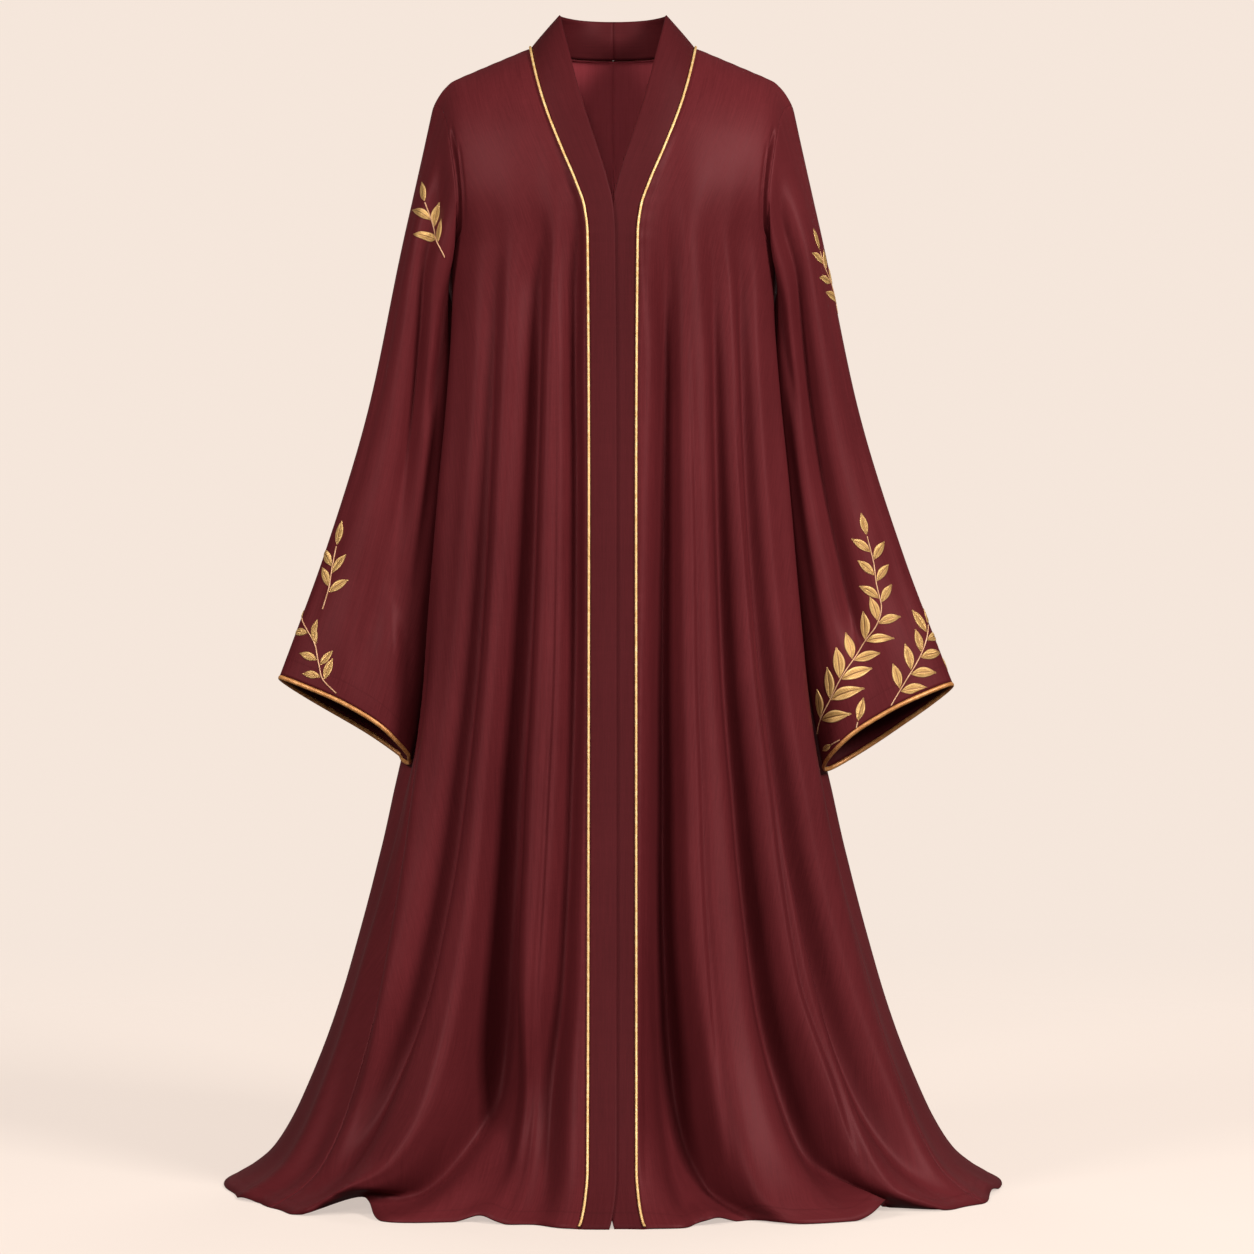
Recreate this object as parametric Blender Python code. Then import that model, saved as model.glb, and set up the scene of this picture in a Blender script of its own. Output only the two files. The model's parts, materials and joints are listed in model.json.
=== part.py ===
"""Open-front abaya cloak, filled out as it is worn, with its hem spread on the floor.

Metres, +Z up, the front faces -Y. The origin is midway between the two points where the
shoulder seams meet the neckband, where the wearer holds the cloak up. Right and left are
the wearer's, so the right side is at -X.
"""

import math
from collections import namedtuple

import bmesh
import bpy
from mathutils import Vector

# Driving sizes
LENGTH = 1.441           # shoulder-neck point down to the floor
WALL = 0.0018            # cloth with its turned seams
BAND_WALL = 0.0022       # doubled cloth of the neckband
SEAM_GAP = 0.0004
SHOULDER_TIP_DROP = 0.072
SHOULDER_ROUND_FROM = 0.196
SHOULDER_SLOPE = 0.415
UNDERARM = 0.262         # drop of the armhole's lowest point
SHOULDER_DEPTH = 0.27    # drop over which the shoulders round into the chest and back
NECK_BACK_DEPTH = 0.072
NECK_BACK_DROP = 0.004
BAND_OVERLAP_LIFT = 0.0018
PIPING_RADIUS = 0.0016
BINDING_RADIUS = 0.0021
PIPING_END = 0.004       # how far above the floor the piping stops
PIPING_JOIN = 0.0006     # half the gap between the two pipings at the centre back
BINDING_GAP = 0.0008
WAIST, KNEE = 0.65, 1.0  # drops at which a fold's depth is given

NECK_COLUMNS = 4
PANEL_COLUMNS = 18
BAND_COLUMNS = 3
ARMHOLE_DROPS = (0, 0.006, 0.020, 0.045, 0.078, 0.114, 0.150, 0.184, 0.212, 0.233, 0.248, 0.257,
                 UNDERARM)
SKIRT_DROPS = (0.305, 0.370, 0.450, 0.545, 0.650, 0.760, 0.865, 0.960, 1.050, 1.135,
               1.210, 1.280, 1.340, 1.388, 1.421, LENGTH)
DROPS = ARMHOLE_DROPS + SKIRT_DROPS

# The cloak's section at each drop below the shoulder-neck points, before its folds.
Section = namedtuple("Section", "drop half_width front_depth back_depth")
SECTIONS = (
    Section(0.000, 0.262, 0.118, 0.100),
    Section(0.080, 0.252, 0.120, 0.112),
    Section(0.170, 0.237, 0.123, 0.124),
    Section(0.262, 0.211, 0.126, 0.127),
    Section(0.330, 0.213, 0.128, 0.126),
    Section(0.450, 0.223, 0.135, 0.129),
    Section(0.550, 0.234, 0.143, 0.137),
    Section(0.680, 0.248, 0.155, 0.150),
    Section(0.800, 0.264, 0.170, 0.169),
    Section(0.942, 0.290, 0.191, 0.193),
    Section(1.018, 0.303, 0.205, 0.209),
    Section(1.170, 0.339, 0.236, 0.246),
    Section(1.247, 0.363, 0.256, 0.270),
    Section(1.323, 0.393, 0.284, 0.302),
    Section(1.361, 0.411, 0.302, 0.322),
    Section(1.399, 0.436, 0.325, 0.346),
    Section(1.422, 0.464, 0.342, 0.364),
    Section(1.434, 0.485, 0.351, 0.376),
    Section(1.441, 0.495, 0.357, 0.384),
)

FRONT_SPREAD_FROM = 0.9  # drop from which the front's curve flattens into its spread hem
FRONT_SPREAD = 0.18

# The hollow at each side in which the sleeve hangs.
Hollow = namedtuple("Hollow", "drop angle spread depth")
HOLLOW = (
    Hollow(0.262, 92, 13, 0.000),
    Hollow(0.300, 92, 13, 0.010),
    Hollow(0.360, 92, 13, 0.022),
    Hollow(0.450, 91, 13, 0.030),
    Hollow(0.700, 88, 13, 0.033),
    Hollow(0.880, 84, 14, 0.034),
    Hollow(0.960, 83, 13, 0.028),
    Hollow(1.050, 82, 11, 0.020),
    Hollow(1.200, 81, 9, 0.013),
    Hollow(1.441, 78, 8, 0.014),
)

# The armhole's two edges, down to the underarm.
Armhole = namedtuple("Armhole", "drop front_x back_x")
ARMHOLE = (
    Armhole(0.000, 0.2280, 0.2280),
    Armhole(0.006, 0.2200, 0.2210),
    Armhole(0.025, 0.2130, 0.2150),
    Armhole(0.080, 0.2050, 0.2085),
    Armhole(0.131, 0.1990, 0.2045),
    Armhole(0.183, 0.1960, 0.2025),
    Armhole(0.225, 0.1975, 0.2035),
    Armhole(0.262, 0.2108, 0.2108),
)

# The neckband: where its seam lies, and where its free edge lies from that seam.
Band = namedtuple("Band", "drop seam_x inward up forward")
BAND = (
    Band(0.000, 0.1040, 0.0360, 0.0420, 0.000),
    Band(0.015, 0.1015, 0.0375, 0.0380, 0.001),
    Band(0.035, 0.0975, 0.0400, 0.0320, 0.003),
    Band(0.060, 0.0915, 0.0430, 0.0215, 0.005),
    Band(0.090, 0.0825, 0.0445, 0.0120, 0.005),
    Band(0.140, 0.0635, 0.0430, 0.0060, 0.004),
    Band(0.185, 0.0450, 0.0395, 0.0015, 0.002),
    Band(0.215, 0.0350, 0.0360, 0.0000, 0.001),
    Band(0.250, 0.0310, 0.0345, 0.0000, 0.000),
    Band(0.600, 0.0290, 0.0345, 0.0000, 0.000),
    Band(1.380, 0.0290, 0.0350, 0.0000, 0.000),
    Band(1.410, 0.0315, 0.0355, 0.0000, 0.000),
    Band(1.427, 0.0345, 0.0355, 0.0000, 0.000),
    Band(1.441, 0.0385, 0.0355, 0.0000, 0.000),
)

# Angles are in degrees round the section, from 0 at the centre front to 180 at the centre
# back, at the underarm, at a drop of 0.95 m and at the hem.
FOLD_MID = 0.95
Seam = namedtuple("Seam", "top mid hem")
SIDE_SEAM = {"right": Seam(88, 65, 59), "left": Seam(88, 70, 67)}

# Folds: depths in metres at the waist, the knee and the floor. A ridge has a depth below 0.
Fold = namedtuple("Fold", "top mid hem spread start waist knee floor")
FOLDS = {
    "right": (
        Fold(13.0, 11.2, 9.5, 3.0, 0.19, 0.009, 0.014, 0.020),
        Fold(22.0, 17.0, 13.5, 3.5, 0.20, -0.005, -0.008, -0.008),
        Fold(31.5, 26.0, 18.3, 4.8, 0.15, 0.024, 0.036, 0.050),
        Fold(41.0, 35.0, 25.0, 5.0, 0.20, -0.007, -0.012, -0.030),
        Fold(51.0, 43.5, 40.5, 4.8, 0.24, 0.013, 0.023, 0.042),
        Fold(68.0, 58.0, 50.0, 5.5, 0.30, -0.004, -0.006, -0.006),
        Fold(78.0, 70.0, 66.0, 4.0, 0.60, 0.000, 0.005, 0.012),
        Fold(119.0, 116.0, 113.0, 5.5, 0.24, 0.012, 0.024, 0.038),
        Fold(130.0, 128.0, 126.0, 5.0, 0.30, -0.004, -0.008, -0.010),
        Fold(140.0, 140.0, 139.0, 5.5, 0.16, 0.018, 0.030, 0.046),
        Fold(158.0, 157.0, 156.0, 4.6, 0.22, 0.012, 0.022, 0.034),
        Fold(172.0, 171.0, 171.0, 4.0, 0.30, 0.006, 0.014, 0.024),
    ),
    "left": (
        Fold(23.0, 13.7, 14.5, 4.4, 0.16, 0.022, 0.034, 0.050),
        Fold(32.0, 24.0, 22.5, 5.0, 0.20, -0.007, -0.012, -0.026),
        Fold(42.0, 35.5, 40.5, 4.6, 0.19, 0.014, 0.026, 0.044),
        Fold(50.0, 44.0, 49.0, 4.0, 0.22, -0.004, -0.007, -0.006),
        Fold(58.0, 53.0, 57.5, 4.0, 0.22, 0.011, 0.018, 0.026),
        Fold(72.0, 63.0, 66.0, 5.0, 0.30, -0.004, -0.005, -0.005),
        Fold(118.0, 115.0, 112.0, 5.0, 0.26, 0.011, 0.020, 0.034),
        Fold(134.0, 133.0, 131.0, 5.5, 0.17, 0.018, 0.032, 0.048),
        Fold(146.0, 146.0, 145.0, 5.0, 0.30, -0.004, -0.008, -0.010),
        Fold(155.0, 155.0, 155.0, 4.6, 0.20, 0.013, 0.024, 0.036),
        Fold(170.0, 169.0, 168.0, 4.2, 0.28, 0.007, 0.016, 0.026),
    ),
}

# Places where the hem is lifted off the floor in a small arch.
Arch = namedtuple("Arch", "angle spread height")
ARCH_DEPTH = 0.075
ARCHES = {
    "right": (Arch(19.3, 3.0, 0.010), Arch(41.5, 4.6, 0.020), Arch(70.0, 3.5, 0.005),
              Arch(113.0, 4.0, 0.014), Arch(139.0, 3.6, 0.010)),
    "left": (Arch(14.8, 3.0, 0.010), Arch(42.5, 4.2, 0.020), Arch(80.0, 4.0, 0.006),
             Arch(112.0, 4.0, 0.012), Arch(131.0, 3.6, 0.012)),
}

# Rings of a sleeve from its armhole to its cuff, by share of its length. The outer and the
# inner end of each ring are seen from the front; depth is half the ring's depth.
Ring = namedtuple("Ring", "share outer_x outer_drop inner_x inner_drop depth middle_y")
SLEEVE_RINGS = (
    Ring(0.00, 0.2280, 0.0720, 0.2108, 0.2620, 0.060, 0.000),
    Ring(0.08, 0.2400, 0.1260, 0.2060, 0.3100, 0.060, 0.003),
    Ring(0.25, 0.2700, 0.2600, 0.2010, 0.4050, 0.057, 0.006),
    Ring(0.50, 0.3110, 0.4580, 0.2120, 0.5750, 0.052, 0.004),
    Ring(0.75, 0.3670, 0.6450, 0.2310, 0.7450, 0.048, -0.004),
    Ring(0.90, 0.4010, 0.7410, 0.2440, 0.8430, 0.045, -0.014),
    Ring(1.00, 0.4210, 0.7960, 0.2520, 0.9030, 0.042, -0.020),
)
# How much further out and down each end of the cuff hangs on the left sleeve.
LeftCuff = namedtuple("LeftCuff", "outer_x outer_drop inner_x inner_drop")
LEFT_CUFF = LeftCuff(0.008, 0.009, 0.013, 0.006)
SLEEVE_SHARES = (0, 0.03, 0.08, 0.15, 0.24, 0.35, 0.47, 0.59, 0.71, 0.82, 0.91, 0.965, 1)
SLEEVE_CLEARANCE = 0.0012    # least space between a sleeve and the body beside it
BINDING_CLEARANCE = 0.0055   # more space for the cuff's binding
BESIDE_FROM = 0.225          # drop below which a sleeve is kept clear
UNDERARM_SPACE = 0.008       # how far the sleeve turns out from the body at the underarm
ARMHOLE_EASE = 0.22      # share of the sleeve over which it leaves the armhole's own shape
# How far the cuff's front edge is above its back edge, by half, and how far both bow up.
CUFF_TILT = {"right": 0.012, "left": 0.017}
CUFF_BOW = {"right": 0.010, "left": 0.004}
CUFF_POINT = 0.42        # how much the cuff narrows towards its outer corner

# Sleeve folds, by the angle round a ring: 0 outermost, 90 front, 180 innermost, 270 back.
SleeveFold = namedtuple("SleeveFold", "top cuff spread start depth")
SLEEVE_FOLDS = {
    "right": (SleeveFold(75, 103, 15, 0.10, 0.011), SleeveFold(128, 140, 12, 0.16, 0.007),
              SleeveFold(228, 236, 16, 0.12, 0.010), SleeveFold(288, 276, 16, 0.20, 0.009)),
    "left": (SleeveFold(90, 104, 15, 0.08, 0.011), SleeveFold(134, 142, 12, 0.14, 0.006),
             SleeveFold(236, 232, 17, 0.14, 0.010), SleeveFold(280, 286, 15, 0.18, 0.009)),
}

# Angles between which the body lies beside a sleeve.
SIDE_FROM, SIDE_TO, SIDE_STEP = 40, 136, 3

# Two walls that meet at a seam share their end only if their outward ways agree by this much.
TURNED_BACK = 0.25

PIECES = ("front", "back", "sleeve", "band")
CLOTH_COLOUR = (0.130, 0.022, 0.027, 1)
GOLD_COLOUR = (0.560, 0.310, 0.090, 1)
SIDES = {"right": -1, "left": 1}


def follow(table, name, at):
    """One column of a table at a place in its first column, on a smooth curve through its rows."""
    xs = [row[0] for row in table]
    ys = [getattr(row, name) for row in table]
    if at <= xs[0]:
        return ys[0]
    if at >= xs[-1]:
        return ys[-1]
    slopes = [(ys[i + 1] - ys[i]) / (xs[i + 1] - xs[i]) for i in range(len(xs) - 1)]
    i = next(k for k in range(len(slopes)) if at <= xs[k + 1])

    def tangent(k):
        if k == 0:
            return slopes[0]
        if k == len(slopes):
            return slopes[-1]
        before, after = slopes[k - 1], slopes[k]
        return 0.0 if before * after <= 0 else 2 * before * after / (before + after)

    span = xs[i + 1] - xs[i]
    t = (at - xs[i]) / span
    start, end = tangent(i) * span, tangent(i + 1) * span
    rise = ys[i + 1] - ys[i]
    return ys[i] + t * (start + t * (3 * rise - 2 * start - end + t * (start + end - 2 * rise)))


def ease(value):
    """0 below 0, 1 above 1, and smooth between."""
    value = min(1.0, max(0.0, value))
    return value * value * (3 - 2 * value)


def bell(offset, spread):
    return math.exp(-((offset / spread) ** 2))


def drifting(row, drop):
    """The angle of a fold or seam that fans out between the underarm and the hem."""
    if drop <= FOLD_MID:
        share = max(0.0, (drop - UNDERARM) / (FOLD_MID - UNDERARM))
        return row.top + (row.mid - row.top) * share
    return row.mid + (row.hem - row.mid) * (drop - FOLD_MID) / (LENGTH - FOLD_MID)


def fold_depth(row, drop):
    if drop <= WAIST:
        return row.waist * ease((drop - row.start) / (WAIST - row.start))
    if drop <= KNEE:
        return row.waist + (row.knee - row.waist) * (drop - WAIST) / (KNEE - WAIST)
    return row.knee + (row.floor - row.knee) * (drop - KNEE) / (LENGTH - KNEE)


def shoulder_z(x):
    """The shoulder seam falls straight from the neck and rounds down near its tip."""
    fall = SHOULDER_SLOPE * (x - BAND[0].seam_x)
    tip_x = ARMHOLE[0].front_x
    if x > SHOULDER_ROUND_FROM:
        share = (x - SHOULDER_ROUND_FROM) / (tip_x - SHOULDER_ROUND_FROM)
        straight_tip = SHOULDER_SLOPE * (tip_x - BAND[0].seam_x)
        fall += (SHOULDER_TIP_DROP - straight_tip) * share ** 2.6
    return -fall


def section_point(side, angle, drop):
    """A point of the section with its folds, as (x, y, lift), for the +X half."""
    half_width = follow(SECTIONS, "half_width", drop)
    turn = math.radians(angle)
    front = math.cos(turn) > 0
    depth = follow(SECTIONS, "front_depth" if front else "back_depth", drop)
    x, y = half_width * math.sin(turn), -depth * math.cos(turn)
    if front:
        spread = FRONT_SPREAD * ease((drop - FRONT_SPREAD_FROM) / (LENGTH - FRONT_SPREAD_FROM))
        y = -depth * math.cos(turn) ** (1 - spread)
    out = Vector((math.sin(turn) / half_width, -math.cos(turn) / depth, 0)).normalized()
    inward = sum(fold_depth(f, drop) * bell(angle - drifting(f, drop), f.spread) for f in FOLDS[side])
    middle_distance = min(x, 0.05) / 0.05 if not front else max(0.0, x - follow(BAND, "seam_x", drop)) / 0.012
    inward *= ease(middle_distance)
    hollow = follow(HOLLOW, "depth", drop)
    inward += hollow * bell(angle - follow(HOLLOW, "angle", drop), follow(HOLLOW, "spread", drop))
    lift = sum(a.height * bell(angle - a.angle, a.spread) for a in ARCHES[side])
    lift *= ease((drop - LENGTH + ARCH_DEPTH) / ARCH_DEPTH)
    return x - out.x * inward, y - out.y * inward, lift


def edge_angle(side, drop, front):
    """The angle at which a front or back panel ends: its armhole, then its side seam."""
    if drop >= UNDERARM:
        return drifting(SIDE_SEAM[side], drop)
    reach = follow(ARMHOLE, "front_x" if front else "back_x", drop)
    angle = math.degrees(math.asin(reach / follow(SECTIONS, "half_width", drop)))
    return angle if front else 180 - angle


def body_z(top_z, drop):
    """Rows follow the slope of the shoulders at the top and are level from the underarm down."""
    return -drop + top_z * max(0.0, 1 - drop / UNDERARM)


def rounding(drop):
    """How far the surface has come forward or back from the shoulder seam."""
    return math.sqrt(1 - (1 - min(1.0, drop / SHOULDER_DEPTH)) ** 2.2)


def spaced_angle(side, drop, first, across, front):
    """Columns are even down the panel, and only the outer ones draw in at the armhole."""
    edge = edge_angle(side, drop, front)
    if drop >= UNDERARM:
        return first + (edge - first) * across
    tip = edge_angle(side, 0, front)
    even = tip + (edge_angle(side, UNDERARM, front) - tip) * drop / UNDERARM
    return first + (even - first) * across + (edge - even) * across ** 2


def front_point(side, across, drop):
    inner = math.degrees(math.asin(follow(BAND, "seam_x", drop) / follow(SECTIONS, "half_width", drop)))
    angle = spaced_angle(side, drop, inner, across, True)
    x, y, lift = section_point(side, angle, drop)
    top_x = front_top_x(across)
    return Vector((x, y * rounding(drop), body_z(shoulder_z(top_x), drop) + lift))


def front_top_x(across):
    inner = math.asin(BAND[0].seam_x / SECTIONS[0].half_width)
    outer = math.asin(ARMHOLE[0].front_x / SECTIONS[0].half_width)
    return SECTIONS[0].half_width * math.sin(inner + (outer - inner) * across)


def back_top(across):
    """The back's upper edge: the neckline from the centre back, then the shoulder seam."""
    neck_share = NECK_COLUMNS / (NECK_COLUMNS + PANEL_COLUMNS)
    if across <= neck_share:
        turn = across / neck_share * math.pi / 2
        return Vector((BAND[0].seam_x * math.sin(turn), NECK_BACK_DEPTH * math.cos(turn),
                       -NECK_BACK_DROP * math.cos(turn) ** 2))
    x = front_top_x((across - neck_share) / (1 - neck_share))
    return Vector((x, 0, shoulder_z(x)))


def back_point(side, across, drop):
    top = back_top(across)
    top_angle = 180 - math.degrees(math.asin(top.x / SECTIONS[0].half_width))
    fanned = top_angle - spaced_angle(side, 0, 180, across, False)
    angle = spaced_angle(side, drop, 180, across, False) + fanned * (1 - ease(drop / UNDERARM))
    x, y, lift = section_point(side, angle, drop)
    return Vector((x, top.y + (y - top.y) * rounding(drop), body_z(top.z, drop) + lift))


def mirrored(side, point):
    return Vector((point.x * SIDES[side], point.y, point.z))


def panel_grid(side, columns, place):
    """Rows of points down a panel, on its outer side."""
    rows = [[place(side, c / columns, drop) for c in range(columns + 1)] for drop in DROPS]
    for point in rows[-1]:
        point.z = max(point.z, -LENGTH + WALL)
    return [[mirrored(side, point) for point in row] for row in rows]


def ring_point(side, share, turn):
    """A point of the sleeve with its folds, for the +X side, apart from its armhole."""
    outer = Vector((follow(SLEEVE_RINGS, "outer_x", share), 0, -follow(SLEEVE_RINGS, "outer_drop", share)))
    inner = Vector((follow(SLEEVE_RINGS, "inner_x", share), 0, -follow(SLEEVE_RINGS, "inner_drop", share)))
    if side == "left":
        outer += Vector((LEFT_CUFF.outer_x, 0, -LEFT_CUFF.outer_drop)) * share ** 3
        inner += Vector((LEFT_CUFF.inner_x, 0, -LEFT_CUFF.inner_drop)) * share ** 3
    depth = follow(SLEEVE_RINGS, "depth", share)
    forward = math.sin(turn) * (1 - CUFF_POINT * share * math.cos(turn))
    point = (outer + inner) / 2 + (outer - inner) / 2 * math.cos(turn)
    point.y = follow(SLEEVE_RINGS, "middle_y", share) - depth * forward
    point.z += (CUFF_TILT[side] * forward + CUFF_BOW[side] * forward ** 2) * share ** 2
    middle = (outer + inner) / 2 + Vector((0, follow(SLEEVE_RINGS, "middle_y", share), 0))
    inward = 0.0
    for fold in SLEEVE_FOLDS[side]:
        centre = fold.top + (fold.cuff - fold.top) * share
        grown = ease((share - fold.start) / 0.35)
        inward += fold.depth * grown * bell(math.degrees(turn) - centre, fold.spread)
    return point + (middle - point).normalized() * inward


def body_reach(side, drop, y):
    """How far out the body lies beside a sleeve, at one height and one distance forward."""
    places = [section_point(side, angle, drop) for angle in range(SIDE_FROM, SIDE_TO, SIDE_STEP)]
    for (x, at, _), (next_x, next_at, _) in zip(places, places[1:]):
        if at <= y <= next_at:
            return x + (next_x - x) * (y - at) / (next_at - at)
    return 0.0


def beside_body(side, share, turn, point):
    """Keeps a sleeve point, for the +X side, clear of the body."""
    if point.z > -BESIDE_FROM:
        return point
    clearance = SLEEVE_CLEARANCE
    clearance += (BINDING_CLEARANCE - SLEEVE_CLEARANCE) * ease((share - 0.88) / 0.08)
    clearance += UNDERARM_SPACE * math.sqrt(max(0.0, -math.cos(turn))) * (1 - ease(share / 0.30))
    least = max(body_reach(side, -point.z + rise, point.y) for rise in (0, SLEEVE_CLEARANCE * 4))
    if least > 0:
        point.x = max(point.x, least + clearance)
    return point


def sleeve_grid(side, front, back):
    """Rings of points down a sleeve. The first ring is the armhole of the two panels."""
    rows = len(ARMHOLE_DROPS) - 1
    loop = [front[r][-1] for r in range(rows + 1)] + [back[r][-1] for r in range(rows - 1, -1, -1)]
    loop = [mirrored(side, point) for point in loop]
    turns = [math.pi * c / rows for c in range(2 * rows + 1)]
    starts = [ring_point(side, 0, turn) for turn in turns]
    grid = []
    for share in SLEEVE_SHARES:
        held = 1 - ease(share / ARMHOLE_EASE)
        ring = [ring_point(side, share, turn) + (at - start) * held
                for turn, at, start in zip(turns, loop, starts)]
        if share > 0:
            ring = [beside_body(side, share, turn, point) for turn, point in zip(turns, ring)]
        grid.append([mirrored(side, point) for point in ring])
    return grid


def band_grid(side, front, back):
    """Points of the neckband from the centre back over the shoulder and down to the hem."""
    seam = [(back[0][c], 0.0, c / NECK_COLUMNS) for c in range(NECK_COLUMNS)]
    seam += [(row[0], drop, 1.0) for row, drop in zip(front, DROPS)]
    top = BAND[0]
    grid = []
    for at, drop, round_neck in seam:
        inward = follow(BAND, "inward", drop)
        up = follow(BAND, "up", drop)
        forward = follow(BAND, "forward", drop)
        if round_neck < 1:
            turn = round_neck * math.pi / 2
            inward, up = top.inward * math.sin(turn), top.up + 0.006 * math.cos(turn)
            forward = 0.004 * math.cos(turn)
        edge = at + Vector((-inward * SIDES[side], -forward, up))
        lift = BAND_OVERLAP_LIFT * ease((drop - 0.14) / 0.07) * -SIDES[side]
        row = []
        for c in range(BAND_COLUMNS + 1):
            across = c / BAND_COLUMNS
            bow = 0.003 * math.sin(math.pi * across) * (1 - ease(drop / 0.2))
            row.append(at.lerp(edge, across) + Vector((0, -lift * ease(across / 0.6) - bow, 0)))
        grid.append(row)
    return grid


def outward_ways(pieces):
    """For each piece, the way out of its surface at each of its points."""
    ways = []
    for rows, outward in pieces:
        sums = {}
        for r in range(len(rows) - 1):
            for c in range(len(rows[0]) - 1):
                a, b = rows[r][c], rows[r][c + 1]
                d, e = rows[r + 1][c + 1], rows[r + 1][c]
                normal = (d - a).cross(e - b).normalized() * outward
                for point in (a, b, d, e):
                    sums[key_of(point)] = sums.get(key_of(point), Vector()) + normal
        ways.append({key: total.normalized() for key, total in sums.items()})
    return ways


def through_wall(ways, piece, point):
    """The way out through a piece's wall, halfway to the pieces that it runs on into."""
    key = key_of(point)
    own = ways[piece][key]
    alike = [other[key] for other in ways if key in other and other[key].dot(own) > TURNED_BACK]
    middle = sum(alike, Vector()).normalized()
    return middle / middle.dot(own)


def turned(rows):
    """The same points on the other half of the cloak."""
    return [[Vector((-point.x, point.y, point.z)) for point in row] for row in rows]


def key_of(point):
    return tuple(round(value, 6) for value in point)


def inner_grid(rows, ways, piece, thickness):
    grid = [[point - through_wall(ways, piece, point) * thickness for point in row] for row in rows]
    for row in grid:
        for point in row:
            point.z = max(point.z, -LENGTH)
    return grid


def across_edge(point, inside, before, after):
    """The way into a piece, square to its edge."""
    along = (after - before).normalized()
    way = inside - point
    return (way - along * way.dot(along)).normalized()


def seam_directions(rows, edges):
    """The way into a piece from each point of the edges that are sewn to another piece."""
    last_row, last_column = len(rows) - 1, len(rows[0]) - 1
    closed = key_of(rows[0][0]) == key_of(rows[0][-1])
    ways = {}
    for r, row in enumerate(rows):
        for c, point in enumerate(row):
            way = Vector()
            above, below = rows[max(r - 1, 0)][c], rows[min(r + 1, last_row)][c]
            before, after = row[max(c - 1, 0)], row[min(c + 1, last_column)]
            if closed and c in (0, last_column):
                before, after = row[-2], row[1]
            if "start" in edges and c == 0:
                way += across_edge(point, row[1], above, below)
            if "end" in edges and c == last_column:
                way += across_edge(point, row[-2], above, below)
            if "top" in edges and r == 0:
                way += across_edge(point, rows[1][c], before, after)
            if way.length > 0:
                ways[r, c] = way.normalized()
    return ways


def seam_shifts(pieces):
    """How far each sewn point of each piece moves from the pieces that it is sewn to."""
    met = {}
    for name, rows, edges in pieces:
        for (r, c), way in seam_directions(rows, edges).items():
            point = rows[r][c]
            met.setdefault(key_of(point), []).append((name, way))
            if abs(point.x) < SEAM_GAP / 10:
                met[key_of(point)].append((f"{name} opposite", Vector((-way.x, way.y, way.z))))
    shifts = {}
    for name, rows, edges in pieces:
        for (r, c), way in seam_directions(rows, edges).items():
            beside = [other for piece, other in met[key_of(rows[r][c])] if piece != name]
            shifts[name, r, c] = sum(((way - other).normalized() for other in beside), Vector())
    return shifts


def parted(name, rows, shifts):
    none = Vector()
    return [[point + shifts.get((name, r, c), none) * SEAM_GAP / 2 for c, point in enumerate(row)]
            for r, row in enumerate(rows)]


def make_wall(name, outer, inner, material, tube=False):
    """A closed wall between two grids of points."""
    columns, rows = len(outer[0]) - 1, len(outer) - 1
    shape = bmesh.new()
    row_layer = shape.verts.layers.int.new("row")
    column_layer = shape.verts.layers.int.new("column")
    bmesh.ops.create_grid(shape, x_segments=columns, y_segments=rows, size=0.5)
    for vert in shape.verts:
        vert[row_layer] = round((vert.co.y + 0.5) * rows)
        vert[column_layer] = round((vert.co.x + 0.5) * columns)
        vert.co = outer[vert[row_layer]][vert[column_layer]]
    if tube:
        bmesh.ops.remove_doubles(shape, verts=shape.verts, dist=1e-7)
    made = bmesh.ops.extrude_face_region(shape, geom=shape.faces[:], use_keep_orig=True)
    for vert in made["geom"]:
        if isinstance(vert, bmesh.types.BMVert):
            vert.co = inner[vert[row_layer]][vert[column_layer]]
    bmesh.ops.triangulate(shape, faces=shape.faces[:], quad_method="SHORT_EDGE")
    bmesh.ops.recalc_face_normals(shape, faces=shape.faces[:])
    mesh = bpy.data.meshes.new(name)
    shape.to_mesh(mesh)
    shape.free()
    mesh.shade_smooth()
    mesh.set_sharp_from_angle(angle=math.radians(50))
    finished = bpy.data.objects.new(name, mesh)
    finished.data.materials.append(material)
    bpy.context.scene.collection.objects.link(finished)
    return finished


def make_cord(name, points, radius, material, cyclic):
    """A round cord along a list of points."""
    curve = bpy.data.curves.new(name, "CURVE")
    curve.dimensions = "3D"
    curve.bevel_depth = radius
    curve.bevel_resolution = 1
    curve.use_fill_caps = not cyclic
    spline = curve.splines.new("POLY")
    spline.points.add(len(points) - 1)
    spline.use_cyclic_u = cyclic
    for place, point in zip(spline.points, points):
        place.co = (*point, 1)
    finished = bpy.data.objects.new(name, curve)
    curve.materials.append(material)
    bpy.context.scene.collection.objects.link(finished)
    return finished


def piping_points(band, panel_side, ways):
    """The middle of the piping, raised off the seam between the band and the panels."""
    points = []
    for row, panel_point in zip(band, panel_side):
        normal = through_wall(ways, PIECES.index("band"), row[0]).normalized()
        clear = PIPING_RADIUS + SEAM_GAP
        for beside in (row[1], panel_point):
            lean = (beside - row[0]).normalized().dot(normal)
            if lean > 0:
                clear = max(clear, (PIPING_RADIUS + SEAM_GAP) / math.sqrt(1 - lean * lean))
        points.append(row[0] + normal * clear)
    points[-1].z = -LENGTH + PIPING_END
    return points


def binding_points(sleeve, ways):
    """The middle of the cuff's binding, just past the sleeve's edge."""
    points = []
    for c in range(len(sleeve[0]) - 1):
        edge, before = sleeve[-1][c], sleeve[-2][c]
        along = (edge - before).normalized()
        normal = through_wall(ways, PIECES.index("sleeve"), edge)
        points.append(edge + along * (BINDING_RADIUS + BINDING_GAP) - normal * WALL / 2)
    return points


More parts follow.
